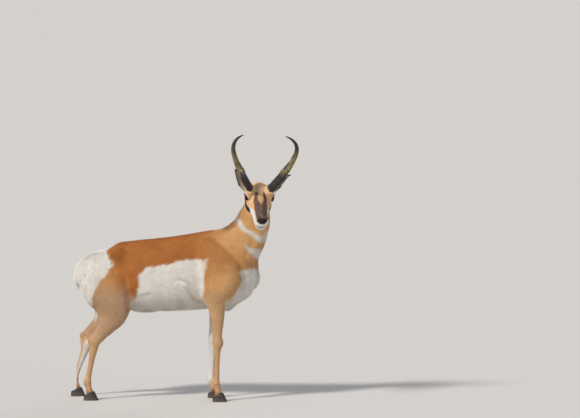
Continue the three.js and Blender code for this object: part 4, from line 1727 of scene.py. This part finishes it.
    def build(self, skin: Skin, finish: "CoatFinish") -> None:
        """Cover the skin, one piece for each stretch of the body.

        Args:
            skin: the dressed skin.
            finish: the hair's material.
        """
        root = self.roots(skin)
        x, y, z = root["points"].T
        stretches = {"": np.ones(len(x), bool)}
        sides = {"_left": y >= 0, "_right": y < 0}
        quarters = {
            f"{end}{side}": mine & there
            for side, mine in sides.items()
            for end, there in (("_fore", x > 0), ("_hind", x <= 0))
        }
        local = HEAD.into(root["points"])[:, 1]
        halves = {"_left": local >= 0, "_right": local < 0}
        for part in Part:
            own = root["part"] == part.value
            split = {Part.TRUNK: quarters, Part.NECK: sides, Part.HEAD: halves}.get(part, stretches)
            for end, there in split.items():
                chosen = np.flatnonzero(own & there)
                pieces = max(1, math.ceil(len(chosen) / self.most))
                for k in range(pieces):
                    some = chosen[k::pieces]
                    extra = f"_{k + 1}" if pieces > 1 else ""
                    rows = {key: values[some] for key, values in root.items()}
                    self.piece(f"coat_{part.name.lower()}{end}{extra}", rows, finish)


# The left horn, in the head's frame: x, y, z, half depth and half width. The y of each side is
# spread out from the horn's root by its own share.
BEAM = (
    (-14, 46, 34, 30, 18),
    (-10, 66, 66, 32, 19),
    (-9, 90, 106, 33, 19),
    (-14, 114, 150, 29, 18),
    (-24, 143, 204, 20, 14.5),
    (-38, 161, 257, 15, 12),
    (-54, 156, 292, 11, 9.5),
    (-70, 134, 312, 7, 6.5),
    (-84, 108, 319, 3, 3),
)
PRONG = (
    (-8, 106, 134, 28, 13),
    (20, 108, 146, 22, 11),
    (44, 109, 161, 13, 8),
    (58, 108, 176, 3.5, 3.5),
)
HORN_ROOT_Y = 46.0
HORN_SPREAD = {Side.LEFT: 1.08, Side.RIGHT: 0.92}
HORN_GRID = 1.7
HORN_INSET = 0.8


@dataclass(frozen=True)
class Horn:
    """One horn: a blade that curls in at its tip, with a prong to the front."""

    side: Side
    ridges: int = 26
    ridge_depth: float = 0.55
    fillet: float = 14.0
    foot: float = 12.0
    margin: float = 8.0

    def stations(self, rows: Sequence[Sequence[float]]) -> Array:
        """The left horn's numbers, set to this side.

        Args:
            rows: the left horn's stations.

        Returns:
            The stations of this side's horn.
        """
        table = np.array(rows, float)
        spread = HORN_SPREAD[self.side]
        table[:, 1] = self.side.value * (HORN_ROOT_Y + (table[:, 1] - HORN_ROOT_Y) * spread)
        return table

    def build(self, finish: "HornFinish") -> bpy.types.Object:
        """Model the horn from its two limbs, ridged towards the root.

        Args:
            finish: its material.

        Returns:
            The horn's object.
        """
        beam = Limb(self.stations(BEAM), HORN_INSET)
        prong = Limb(self.stations(PRONG), HORN_INSET, front=(0.0, 0.0, 1.0))
        low, high = beam.reach()
        low = np.minimum(low, prong.reach()[0]) - self.margin
        high = np.maximum(high, prong.reach()[1]) + self.margin
        axes = [np.arange(a, b, HORN_GRID) for a, b in zip(low, high)]
        p, shape = grid_points(axes)
        place, along, size = beam.locate(p)
        d = joined(oval_distance(along, size), prong.distance(p), self.fillet)
        turn = np.arctan2(along[:, 1], along[:, 0])
        rough = smoothstep(0.6, 0.15, place)
        d += self.ridge_depth * rough * np.sin(turn * self.ridges / 2 + 3 * np.sin(place * 9.0))
        d += 0.9 * rough * wander(p * (1, 1, 0.35), 15.0, 40)
        d = np.maximum(d, self.foot - p[:, 2])
        points, faces = mesh_of(d.reshape(shape), low, HORN_GRID)
        points = smoothed(points, faces, 2)
        place, along, size = beam.locate(points)
        turn = np.arctan2(along[:, 1] / size[:, 1], along[:, 0] / size[:, 0])
        front = np.clip(along[:, 0] / size[:, 0] - 1.0, 0.0, 1.0)
        marks = np.stack([place, (turn / math.pi + 1.0) / 2.0, front], 1)
        side = self.side.name.lower()
        horn = new_object(f"horn_{side}_keratin", HEAD.out(points), faces)
        add_colours(horn, "Marks", marks)
        horn.data.materials.append(finish.build())
        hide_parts(f"horn_{side}")
        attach(horn, "root")
        return horn


@dataclass(frozen=True)
class Eye:
    """One eyeball, with its clear front standing out a little, and its lashes."""

    side: Side
    segments: int = 48
    bulge: float = 1.3
    cornea: float = 0.72
    lashes: int = 46
    lash_length: float = 13.0
    lash_half: float = 0.45
    inset: float = 0.4

    def centre(self) -> Array:
        """The eye's middle, in the head's frame."""
        return EYE_AT * (1, self.side.value, 1)

    def gaze(self) -> Array:
        """The way it looks, in the head's frame."""
        return unit(GAZE * (1, self.side.value, 1))

    def build(self, finish: "EyeFinish") -> bpy.types.Object:
        """Model the eyeball and mark its pupil and iris.

        Args:
            finish: its material.

        Returns:
            The eye's object.
        """
        bm = bmesh.new()
        rows, radius = self.segments // 2, EYE_RADIUS - self.inset
        bmesh.ops.create_uvsphere(bm, u_segments=self.segments, v_segments=rows, radius=radius)
        bmesh.ops.triangulate(bm, faces=bm.faces[:])
        points, faces = read_mesh(bm)
        ahead = unit(points) @ self.gaze()
        points = points + unit(points) * (self.bulge * smoothstep(self.cornea, 1.0, ahead))[:, None]
        level, tall = across(self.gaze())
        way = unit(points)
        marks = np.stack([(ahead + 1) / 2, (way @ level + 1) / 2, (way @ tall + 1) / 2], 1)
        side = self.side.name.lower()
        eye = new_object(f"eye_{side}_ball", HEAD.out(points + self.centre()), faces)
        add_colours(eye, "Marks", marks)
        eye.data.materials.append(finish.build())
        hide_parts(f"eye_{side}")
        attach(eye, "root")
        return eye

    def build_lashes(self, finish: "CoatFinish") -> bpy.types.Object:
        """Set long dark lashes along the upper lid.

        Args:
            finish: its material.

        Returns:
            The lashes' object.
        """
        rng = np.random.default_rng(SEED + self.side.value)
        gaze = self.gaze()
        level, tall = across(gaze)
        places = np.linspace(0.12, 0.88, self.lashes) * math.pi + rng.normal(0, 0.02, self.lashes)
        ring = np.outer(np.cos(places) * OPENING[0] * 1.06, level)
        ring += np.outer(np.sin(places) * OPENING[1] * 1.1, tall)
        depth = np.sqrt(np.maximum(LID_RADIUS**2 - (ring**2).sum(1), 1.0))
        start = self.centre() + ring + np.outer(depth - 0.6, gaze)
        way = unit(0.75 * gaze + 0.95 * unit(ring) + np.array((0, 0, 0.25)))
        tip = start + way * (self.lash_length * rng.uniform(0.7, 1.1, self.lashes))[:, None]
        tip += np.outer(np.full(self.lashes, 1.5), tall)
        middle = (start + tip) / 2 - np.outer(np.full(self.lashes, 1.2), tall)
        a, b = level * self.lash_half, tall * self.lash_half
        rows = [start + a, start - a, start + b, middle + a, middle - a, middle + b, tip]
        points = HEAD.out(np.stack(rows, 1).reshape(-1, 3))
        lash = np.array([
            (0, 2, 1), (0, 1, 4), (0, 4, 3), (1, 2, 5), (1, 5, 4),
            (2, 0, 3), (2, 3, 5), (3, 4, 6), (4, 5, 6), (5, 3, 6),
        ])
        faces = (lash[None] + (np.arange(self.lashes) * 7)[:, None, None]).reshape(-1, 3)
        side = self.side.name.lower()
        lashes = new_object(f"lashes_{side}", points, faces)
        add_colours(lashes, "Coat", np.tile(Tone.BLACK.light(), (len(points), 1)))
        bm = bmesh.new()
        bm.from_mesh(lashes.data)
        bmesh.ops.recalc_face_normals(bm, faces=bm.faces[:])
        bm.to_mesh(lashes.data)
        bm.free()
        lashes.data.materials.append(finish.build())
        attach(lashes, "root")
        return lashes


@dataclass(frozen=True)
class Claw:
    """One half of a cloven hoof, flat below and worn at its edge."""

    foot: tuple[float, float]
    name: str
    half: int
    top: float = 46.0
    length: float = 74.0
    wide: float = 27.0
    gap: float = 3.0
    back: float = 34.0
    lean: float = 0.06
    heel_top: float = 26.0
    inset: float = 0.35
    rings: int = 12
    corners: int = 36
    edge: float = 1.2

    def ring(self, turn: Array, z: Array) -> Array:
        """Points of the wall.

        Args:
            turn: the place round it, from the heel at 0 through the outer side.
            z: the height of each point.

        Returns:
            The points, in the animal's frame.
        """
        shrink = 1.0 - 0.32 * z / self.top
        ahead = (1.0 - np.cos(turn)) / 2.0
        wide = 0.5 * self.wide * np.sin(turn) * (1.0 - 0.28 * ahead) * shrink
        x = self.foot[0] - self.back + self.lean * z + self.length * shrink * ahead
        y = self.foot[1] + self.half * (self.wide * shrink + self.gap) / 2.0 + wide
        return np.stack([x, y, z], 1)

    def build(self, finish: "HoofFinish") -> bpy.types.Object:
        """Draw the sole up into a wall, close it, and round its edges.

        Args:
            finish: its material.

        Returns:
            The claw's object.
        """
        bm = bmesh.new()
        made = bmesh.ops.create_circle(bm, cap_ends=False, segments=self.corners, radius=1.0)
        turn = np.arange(self.corners) * math.tau / self.corners
        loop = made["verts"]
        for k, share in enumerate(np.linspace(0.0, 1.0, self.rings)):
            if k:
                edges = [e for e in bm.edges if all(v in loop for v in e.verts)]
                grown = bmesh.ops.extrude_edge_only(bm, edges=edges)["geom"]
                loop = self.in_order(loop, grown)
            ahead = (1.0 - np.cos(turn)) / 2.0
            rim = self.heel_top + (self.top - self.heel_top) * smoothstep(0.0, 0.75, ahead)
            points = self.ring(turn, share * (rim - 1.0))
            middle = points.mean(0)
            middle[2] = 0.0
            flat = (points - middle) * (1, 1, 0)
            ripple = 0.25 * math.sin(k * 2.2) * (0 < k < self.rings - 1)
            points = points - unit(flat) * (self.inset + ripple)
            for vert, spot in zip(loop, points):
                vert.co = spot
        bmesh.ops.holes_fill(bm, edges=[e for e in bm.edges if e.is_boundary], sides=0)
        bmesh.ops.recalc_face_normals(bm, faces=bm.faces[:])
        caps = [e for f in bm.faces if len(f.verts) > 4 for e in f.edges]
        bmesh.ops.bevel(
            bm, geom=caps, offset=self.edge, segments=2, profile=0.5, affect="EDGES", material=-1
        )
        bmesh.ops.triangulate(bm, faces=bm.faces[:])
        points, faces = read_mesh(bm)
        hoof = new_object(f"{self.name}_horn", points, faces)
        hoof.data.materials.append(finish.build())
        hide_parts(self.name)
        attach(hoof, "root")
        return hoof

    @staticmethod
    def in_order(loop: list, grown: list) -> list:
        """The new points of an extrusion, in the order of the loop they came from.

        Args:
            loop: the points before.
            grown: all that the extrusion made.

        Returns:
            The new points.
        """
        fresh = {v for v in grown if isinstance(v, bmesh.types.BMVert)}
        return [
            next(e.other_vert(v) for e in v.link_edges if e.other_vert(v) in fresh) for v in loop
        ]


class Graph:
    """Adds nodes to a node tree, with their inputs given by name."""

    def __init__(self, tree: bpy.types.NodeTree) -> None:
        """Take the tree."""
        self.tree = tree

    def add(self, kind: str, inputs: dict | None = None, **settings: object) -> bpy.types.Node:
        """Add a node.

        Args:
            kind: its type, without ShaderNode.
            inputs: values or sockets for its inputs, by name or number.
            settings: its own settings.

        Returns:
            The node.
        """
        node = self.tree.nodes.new(f"ShaderNode{kind}")
        for name, value in settings.items():
            setattr(node, name, value)
        self.feed(node, inputs or {})
        return node

    def feed(self, node: bpy.types.Node, inputs: dict) -> None:
        """Give a node's inputs their values and links.

        Args:
            node: the node.
            inputs: values or sockets, by the input's name or number.
        """
        for name, value in inputs.items():
            if isinstance(value, bpy.types.NodeSocket):
                self.tree.links.new(value, node.inputs[name])
            else:
                node.inputs[name].default_value = value

    def channels(self, name: str) -> list[bpy.types.NodeSocket]:
        """The three numbers of a colour that the object's points carry."""
        colour = self.add("Attribute", attribute_name=name).outputs["Color"]
        return list(self.add("SeparateColor", {0: colour}).outputs)

    def mixed(
        self, share: object, first: object, second: object, how: str = "MIX"
    ) -> bpy.types.NodeSocket:
        """A colour between two others.

        Args:
            share: how much of the second there is.
            first: the first colour.
            second: the second colour.
            how: the way they are mixed.

        Returns:
            The mixed colour.
        """
        inputs = {0: share, 6: first, 7: second}
        return self.add("Mix", inputs, data_type="RGBA", blend_type=how).outputs[2]

    def shaded(self, colour: object, shade: object) -> bpy.types.NodeSocket:
        """A colour made lighter or darker by a number near 1."""
        tint = self.add("CombineColor", {0: shade, 1: shade, 2: shade}).outputs[0]
        return self.mixed(1.0, colour, tint, "MULTIPLY")

    def times(self, first: object, second: object) -> bpy.types.NodeSocket:
        """The product of two numbers."""
        return self.maths("MULTIPLY", first, second)

    def rest(self, share: object) -> bpy.types.NodeSocket:
        """What is left of 1 beside a share."""
        return self.maths("SUBTRACT", 1.0, share)

    def maths(self, how: str, *values: object) -> bpy.types.NodeSocket:
        """A sum worked out on numbers."""
        return self.add("Math", dict(enumerate(values)), operation=how).outputs[0]

    def ramped(self, value: bpy.types.NodeSocket, low: float, high: float) -> bpy.types.NodeSocket:
        """A number eased from 0 at low to 1 at high.

        Args:
            value: the number.
            low: where it is 0.
            high: where it is 1.

        Returns:
            The eased number.
        """
        inputs = {"Value": value, "From Min": low, "From Max": high}
        return self.add("MapRange", inputs, interpolation_type="SMOOTHSTEP").outputs[0]


def rgba(colour: Sequence[float], share: float = 1.0) -> tuple[float, ...]:
    """A share of a colour from 0 to 255, as nodes take it."""
    return (*(float(c) for c in linear(colour) * share), 1.0)


class Strands:
    """The node group for fine streaks, shared by the skin, coat, horns and hooves."""

    NAME = "Strands"

    @classmethod
    def group(cls) -> bpy.types.NodeTree:
        """The group, made on its first use.

        Its inputs are Vector, the place already stretched along the streaks, Fineness and
        Patchiness. Its outputs are Streak, from 0 to 1, and Shade, near 1.

        Returns:
            The group.
        """
        made = bpy.data.node_groups.get(cls.NAME)
        if made:
            return made
        tree = bpy.data.node_groups.new(cls.NAME, "ShaderNodeTree")
        sockets = (
            ("Vector", "INPUT", "NodeSocketVector"),
            ("Fineness", "INPUT", "NodeSocketFloat"),
            ("Patchiness", "INPUT", "NodeSocketFloat"),
            ("Streak", "OUTPUT", "NodeSocketFloat"),
            ("Shade", "OUTPUT", "NodeSocketFloat"),
        )
        for name, way, kind in sockets:
            tree.interface.new_socket(name, in_out=way, socket_type=kind)
        g = Graph(tree)
        source = g.add("VectorMath", operation="SCALE")
        given = tree.nodes.new("NodeGroupInput")
        tree.links.new(given.outputs["Vector"], source.inputs[0])
        tree.links.new(given.outputs["Fineness"], source.inputs["Scale"])
        noise = {"Vector": source.outputs[0], "Scale": 1.0, "Detail": 3.0, "Roughness": 0.6}
        streak = g.add("TexNoise", noise).outputs["Fac"]
        broad = g.add("TexNoise", noise | {"Scale": 0.13, "Detail": 2.0}).outputs["Fac"]
        streak = g.ramped(streak, 0.3, 0.7)
        patch = g.maths("MULTIPLY", g.maths("SUBTRACT", broad, 0.5), given.outputs["Patchiness"])
        shade = g.maths("ADD", g.maths("MULTIPLY_ADD", streak, 0.24, 0.88), patch)
        out = tree.nodes.new("NodeGroupOutput")
        tree.links.new(streak, out.inputs["Streak"])
        tree.links.new(shade, out.inputs["Shade"])
        return tree

    @classmethod
    def place(cls, g: Graph, vector: object, fineness: float, patchiness: float) -> bpy.types.Node:
        """Put the group into a material.

        Args:
            g: the material's graph.
            vector: the place, stretched along the streaks.
            fineness: how many streaks there are.
            patchiness: how much the shade wanders over broad patches.

        Returns:
            The group's node.
        """
        inputs = {"Vector": vector, "Fineness": fineness, "Patchiness": patchiness}
        node = g.tree.nodes.new("ShaderNodeGroup")
        node.node_tree = cls.group()
        g.feed(node, inputs)
        return node


class Finish:
    """A material that is made once."""

    name = ""

    def build(self) -> bpy.types.Material:
        """The material, made on its first use.

        Returns:
            The material.
        """
        made = bpy.data.materials.get(self.name)
        if made:
            return made
        made = bpy.data.materials.new(self.name)
        made.use_nodes = True
        self.dress(Graph(made.node_tree), made.node_tree.nodes["Principled BSDF"])
        return made

    def dress(self, g: Graph, shader: bpy.types.Node) -> None:
        """Set the shader up.

        Args:
            g: the material's graph.
            shader: its main shader.
        """
        raise NotImplementedError

    @staticmethod
    def stretched(g: Graph, scale: Triple) -> bpy.types.NodeSocket:
        """Object coordinates, squeezed to make streaks.

        Args:
            g: the material's graph.
            scale: how much each axis is squeezed.

        Returns:
            The place.
        """
        place = g.add("TexCoord").outputs["Object"]
        return g.add("Mapping", {"Vector": place, "Scale": scale}).outputs[0]


@dataclass(frozen=True)
class SkinFinish(Finish):
    """Short flat hair with its markings, and the bare skin of nose, lips and lids."""

    name: str = "skin with short hair"
    hair_roughness: float = 0.82
    bare_roughness: float = 0.46
    fineness: float = 1.0
    depth: float = 0.0012

    def dress(self, g: Graph, shader: bpy.types.Node) -> None:
        """Streak the hair along its lie, and pebble the bare skin.

        Args:
            g: the material's graph.
            shader: its main shader.
        """
        coat = g.add("Attribute", attribute_name="Coat").outputs["Color"]
        bare, upright, _ = g.channels("Ways")
        level = Strands.place(g, self.stretched(g, (90, 420, 420)), self.fineness, 0.3)
        steep = Strands.place(g, self.stretched(g, (420, 420, 90)), self.fineness, 0.3)
        streak = g.add("Mix", {0: upright, 2: level.outputs[0], 3: steep.outputs[0]}).outputs[0]
        shade = g.add("Mix", {0: upright, 2: level.outputs[1], 3: steep.outputs[1]}).outputs[0]
        place = g.add("TexCoord").outputs["Object"]
        pebble = g.add("TexVoronoi", {"Vector": place, "Scale": 420.0}).outputs["Distance"]
        height = g.add("Mix", {0: bare, 2: streak, 3: g.times(pebble, 0.45)}).outputs[0]
        bump = g.add("Bump", {"Height": height, "Distance": self.depth, "Strength": 0.8})
        rough = g.add("Mix", {0: bare, 2: self.hair_roughness, 3: self.bare_roughness}).outputs[0]
        g.feed(shader, {
            "Base Color": g.shaded(coat, shade), "Roughness": rough, "Normal": bump.outputs[0],
            "Specular IOR Level": 0.3,
        })


@dataclass(frozen=True)
class CoatFinish(Finish):
    """Hair: dull, with a faint bloom, in the colours of the skin below."""

    name: str = "hair"
    roughness: float = 0.7

    def dress(self, g: Graph, shader: bpy.types.Node) -> None:
        """Take the locks' own colours, and vary them finely.

        Args:
            g: the material's graph.
            shader: its main shader.
        """
        coat = g.add("Attribute", attribute_name="Coat").outputs["Color"]
        fine = Strands.place(g, self.stretched(g, (160, 240, 240)), 1.0, 0.25)
        colour = g.shaded(coat, fine.outputs["Shade"])
        rough = g.maths("MULTIPLY_ADD", fine.outputs["Streak"], 0.12, self.roughness - 0.06)
        g.feed(shader, {
            "Base Color": colour, "Roughness": rough, "Specular IOR Level": 0.25,
            "Sheen Weight": 0.12, "Sheen Roughness": 0.5,
        })


@dataclass(frozen=True)
class HornFinish(Finish):
    """Black horn with olive streaks, rubbed pale round the prong and polished at the tip."""

    name: str = "streaked horn"
    dark: Triple = (27, 24, 22)
    streak: Triple = (150, 130, 74)
    worn: Triple = (190, 170, 104)
    fineness: float = 1.0

    def dress(self, g: Graph, shader: bpy.types.Node) -> None:
        """Streak the horn lengthwise.

        Args:
            g: the material's graph.
            shader: its main shader.
        """
        along, _, front = g.channels("Marks")
        lines = Strands.place(g, self.stretched(g, (330, 330, 46)), self.fineness, 0.5)
        broad = Strands.place(g, self.stretched(g, (70, 70, 16)), self.fineness, 0.4)
        lines, broad = lines.outputs["Streak"], broad.outputs["Streak"]
        low = g.rest(g.ramped(along, 0.2, 0.38))
        middle = g.times(g.ramped(along, 0.3, 0.42), g.rest(g.ramped(along, 0.5, 0.72)))
        amount = g.maths("ADD", g.maths("MULTIPLY_ADD", middle, 0.78, 0.05), g.times(low, 0.04))
        amount = g.times(amount, g.rest(g.times(front, 0.85)))
        share = g.times(g.times(lines, broad), 1.5)
        share = g.maths("MINIMUM", g.times(share, amount), 1.0)
        colour = g.mixed(share, rgba(self.dark), rgba(self.streak))
        rubbed = g.times(g.times(middle, broad), 0.34)
        colour = g.mixed(g.times(rubbed, g.rest(front)), colour, rgba(self.worn))
        rough = g.maths("MULTIPLY_ADD", lines, 0.2, 0.32)
        rough = g.maths("SUBTRACT", rough, g.times(g.ramped(along, 0.6, 0.9), 0.12))
        bump = g.add("Bump", {"Height": lines, "Distance": 0.0009, "Strength": 0.7})
        g.feed(shader, {"Base Color": colour, "Roughness": rough, "Normal": bump.outputs[0]})


@dataclass(frozen=True)
class HoofFinish(Finish):
    """Black hoof, dusty low down, with growth rings."""

    name: str = "ringed hoof"
    dark: Triple = (38, 33, 30)
    dust: Triple = (110, 94, 78)

    def dress(self, g: Graph, shader: bpy.types.Node) -> None:
        """Ring the wall and dust its foot.

        Args:
            g: the material's graph.
            shader: its main shader.
        """
        fine = Strands.place(g, self.stretched(g, (500, 500, 90)), 1.0, 0.4)
        rings = Strands.place(g, self.stretched(g, (30, 30, 520)), 1.0, 0.4)
        height = g.add("SeparateXYZ", {0: g.add("TexCoord").outputs["Object"]}).outputs[2]
        low = g.rest(g.ramped(height, 0.0, 0.03))
        share = g.times(g.maths("MULTIPLY_ADD", low, 0.6, 0.15), fine.outputs["Streak"])
        colour = g.mixed(share, rgba(self.dark), rgba(self.dust))
        rough = g.maths("MULTIPLY_ADD", fine.outputs["Streak"], 0.25, 0.42)
        bump = g.add("Bump", {"Height": rings.outputs["Streak"], "Distance": 0.0008, "Strength": 0.6})
        g.feed(shader, {"Base Color": colour, "Roughness": rough, "Normal": bump.outputs[0]})


@dataclass(frozen=True)
class EyeFinish(Finish):
    """A wet dark eye: brown iris, wide level pupil, and the edge darkest."""

    name: str = "wet eye"
    pupil: Triple = (6, 5, 6)
    iris: Triple = (34, 21, 14)
    white: Triple = (40, 30, 26)

    def dress(self, g: Graph, shader: bpy.types.Node) -> None:
        """Colour the rings by how far round the ball they lie.

        Args:
            g: the material's graph.
            shader: its main shader.
        """
        ahead, level, tall = g.channels("Marks")
        high = g.times(g.maths("SUBTRACT", tall, 0.5), 2.2)
        oval = g.add("CombineXYZ", {0: g.maths("SUBTRACT", level, 0.5), 1: high}).outputs[0]
        oval = g.add("VectorMath", {0: oval}, operation="LENGTH").outputs["Value"]
        fine = Strands.place(g, self.stretched(g, (400, 400, 400)), 1.0, 0.4)
        colour = g.mixed(fine.outputs["Streak"], rgba(self.iris, 0.7), rgba(self.iris, 1.5))
        colour = g.mixed(g.ramped(oval, 0.27, 0.2), colour, rgba(self.pupil))
        colour = g.mixed(g.ramped(ahead, 0.86, 0.82), colour, rgba(self.pupil))
        colour = g.mixed(g.ramped(ahead, 0.8, 0.74), colour, rgba(self.white))
        g.feed(shader, {
            "Base Color": colour, "Roughness": 0.1, "IOR": 1.34, "Specular IOR Level": 0.35,
        })


@dataclass(frozen=True)
class FloorFinish(Finish):
    """A plain pale floor."""

    name: str = "pale floor"
    colour: Triple = (206, 202, 196)

    def dress(self, g: Graph, shader: bpy.types.Node) -> None:
        """Set one pale colour.

        Args:
            g: the material's graph.
            shader: its main shader.
        """
        g.feed(shader, {"Base Color": rgba(self.colour), "Roughness": 0.9})


# The lights: name, way towards each, how wide it looks in degrees, strength and warmth.
LIGHTS = (
    ("key", (-0.5, -0.56, 0.66), 9.0, 2.9, 0.1),
    ("fill", (0.8, -0.6, 0.3), 40.0, 0.3, 0.0),
    ("rim", (0.3, 0.8, 0.55), 30.0, 0.4, 0.0),
)


@dataclass(frozen=True)
class Studio:
    """The camera, the lights and the floor."""

    azimuth: float = 6.0
    elevation: float = 4.0
    distance: float = 20.0
    frame_width: float = 2.9905
    aim: tuple[float, float] = (618.7, 979.6)
    sensor: float = 36.0
    view_end: float = 1000.0
    floor_size: float = 700.0
    sky: tuple[float, ...] = (0.86, 0.9, 1.0, 1.0)
    sky_strength: float = 0.42

    def back(self) -> Array:
        """The way from the animal to the camera.

        Returns:
            A row of length one.
        """
        a, e = math.radians(self.azimuth), math.radians(self.elevation)
        return np.array((math.sin(a) * math.cos(e), -math.cos(a) * math.cos(e), math.sin(e)))

    def place_camera(self) -> None:
        """Set the camera where the photograph was taken from."""
        back = self.back()
        a = math.radians(self.azimuth)
        right = np.array((math.cos(a), math.sin(a), 0.0))
        up = np.cross(back, right)
        spot = (right * self.aim[0] + up * self.aim[1] - MIDDLE) * MM + back * self.distance
        lens = bpy.data.cameras.new("camera")
        lens.lens = self.sensor * self.distance / self.frame_width
        lens.sensor_width = self.sensor
        lens.clip_end = self.view_end
        camera = bpy.data.objects.new("camera", lens)
        camera.location = Vector(spot)
        camera.rotation_euler = Vector(back).to_track_quat("Z", "Y").to_euler()
        bpy.context.scene.collection.objects.link(camera)
        bpy.context.scene.camera = camera

    def light(self, name: str, way: Sequence[float], soft: float, power: float, warm: float) -> None:
        """Add a broad, even light from far off.

        Args:
            name: its name.
            way: the way towards it.
            soft: how wide it looks from the animal, in degrees.
            power: its strength.
            warm: how far its colour leans from white to amber.
        """
        lamp = bpy.data.lights.new(name, "SUN")
        lamp.angle, lamp.energy = math.radians(soft), power
        lamp.color = (1.0, 1.0 - 0.35 * warm, 1.0 - 0.75 * warm)
        thing = bpy.data.objects.new(name, lamp)
        thing.location = Vector(way) * 4.0
        thing.rotation_euler = Vector(way).to_track_quat("Z", "Y").to_euler()
        bpy.context.scene.collection.objects.link(thing)

    def build(self) -> None:
        """Set everything up."""
        self.place_camera()
        for light in LIGHTS:
            self.light(*light)
        world = bpy.data.worlds.new("studio")
        world.use_nodes = True
        sky = world.node_tree.nodes["Background"]
        sky.inputs["Color"].default_value = self.sky
        sky.inputs["Strength"].default_value = self.sky_strength
        bpy.context.scene.world = world
        bpy.context.scene.view_settings.view_transform = "Standard"
        bm = bmesh.new()
        bmesh.ops.create_grid(bm, x_segments=1, y_segments=1, size=self.floor_size / 2)
        mesh = bpy.data.meshes.new("floor")
        bm.to_mesh(mesh)
        bm.free()
        floor = bpy.data.objects.new("floor", mesh)
        bpy.context.scene.collection.objects.link(floor)
        mesh.materials.append(FloorFinish().build())


# Where the near side's feet stand.
FORE_FOOT = (266.0, 84.0, 0.0)
HIND_FOOT = (-400.0, 90.0, 0.0)


def claws() -> list[Claw]:
    """The two claws of each foot.

    Returns:
        All eight claws.
    """
    made = []
    for fore in (True, False):
        for side in Side:
            x, y, _ = Leg(fore, side).spot(*(FORE_FOOT if fore else HIND_FOOT))
            for half in (-1, 1):
                end = "outer" if half == side.value else "inner"
                name = f"{'fore' if fore else 'hind'}_{side.name.lower()}_hoof_{end}"
                made.append(Claw((x, y), name, half))
    return made


def report(thing: bpy.types.Object) -> None:
    """Log a finished piece."""
    LOG.info("%s: %d faces", thing.name, len(thing.data.polygons))


def main() -> None:
    """Build the pronghorn."""
    logging.basicConfig(level=logging.INFO, format="%(message)s")
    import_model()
    Studio().build()
    skin = Skin()
    report(skin.build(SkinFinish()))
    Locks().build(skin, CoatFinish())
    for side in Side:
        report(Eye(side).build(EyeFinish()))
        report(Eye(side).build_lashes(CoatFinish()))
        report(Horn(side).build(HornFinish()))
    for claw in claws():
        report(claw.build(HoofFinish()))


if __name__ == "__main__":
    main()
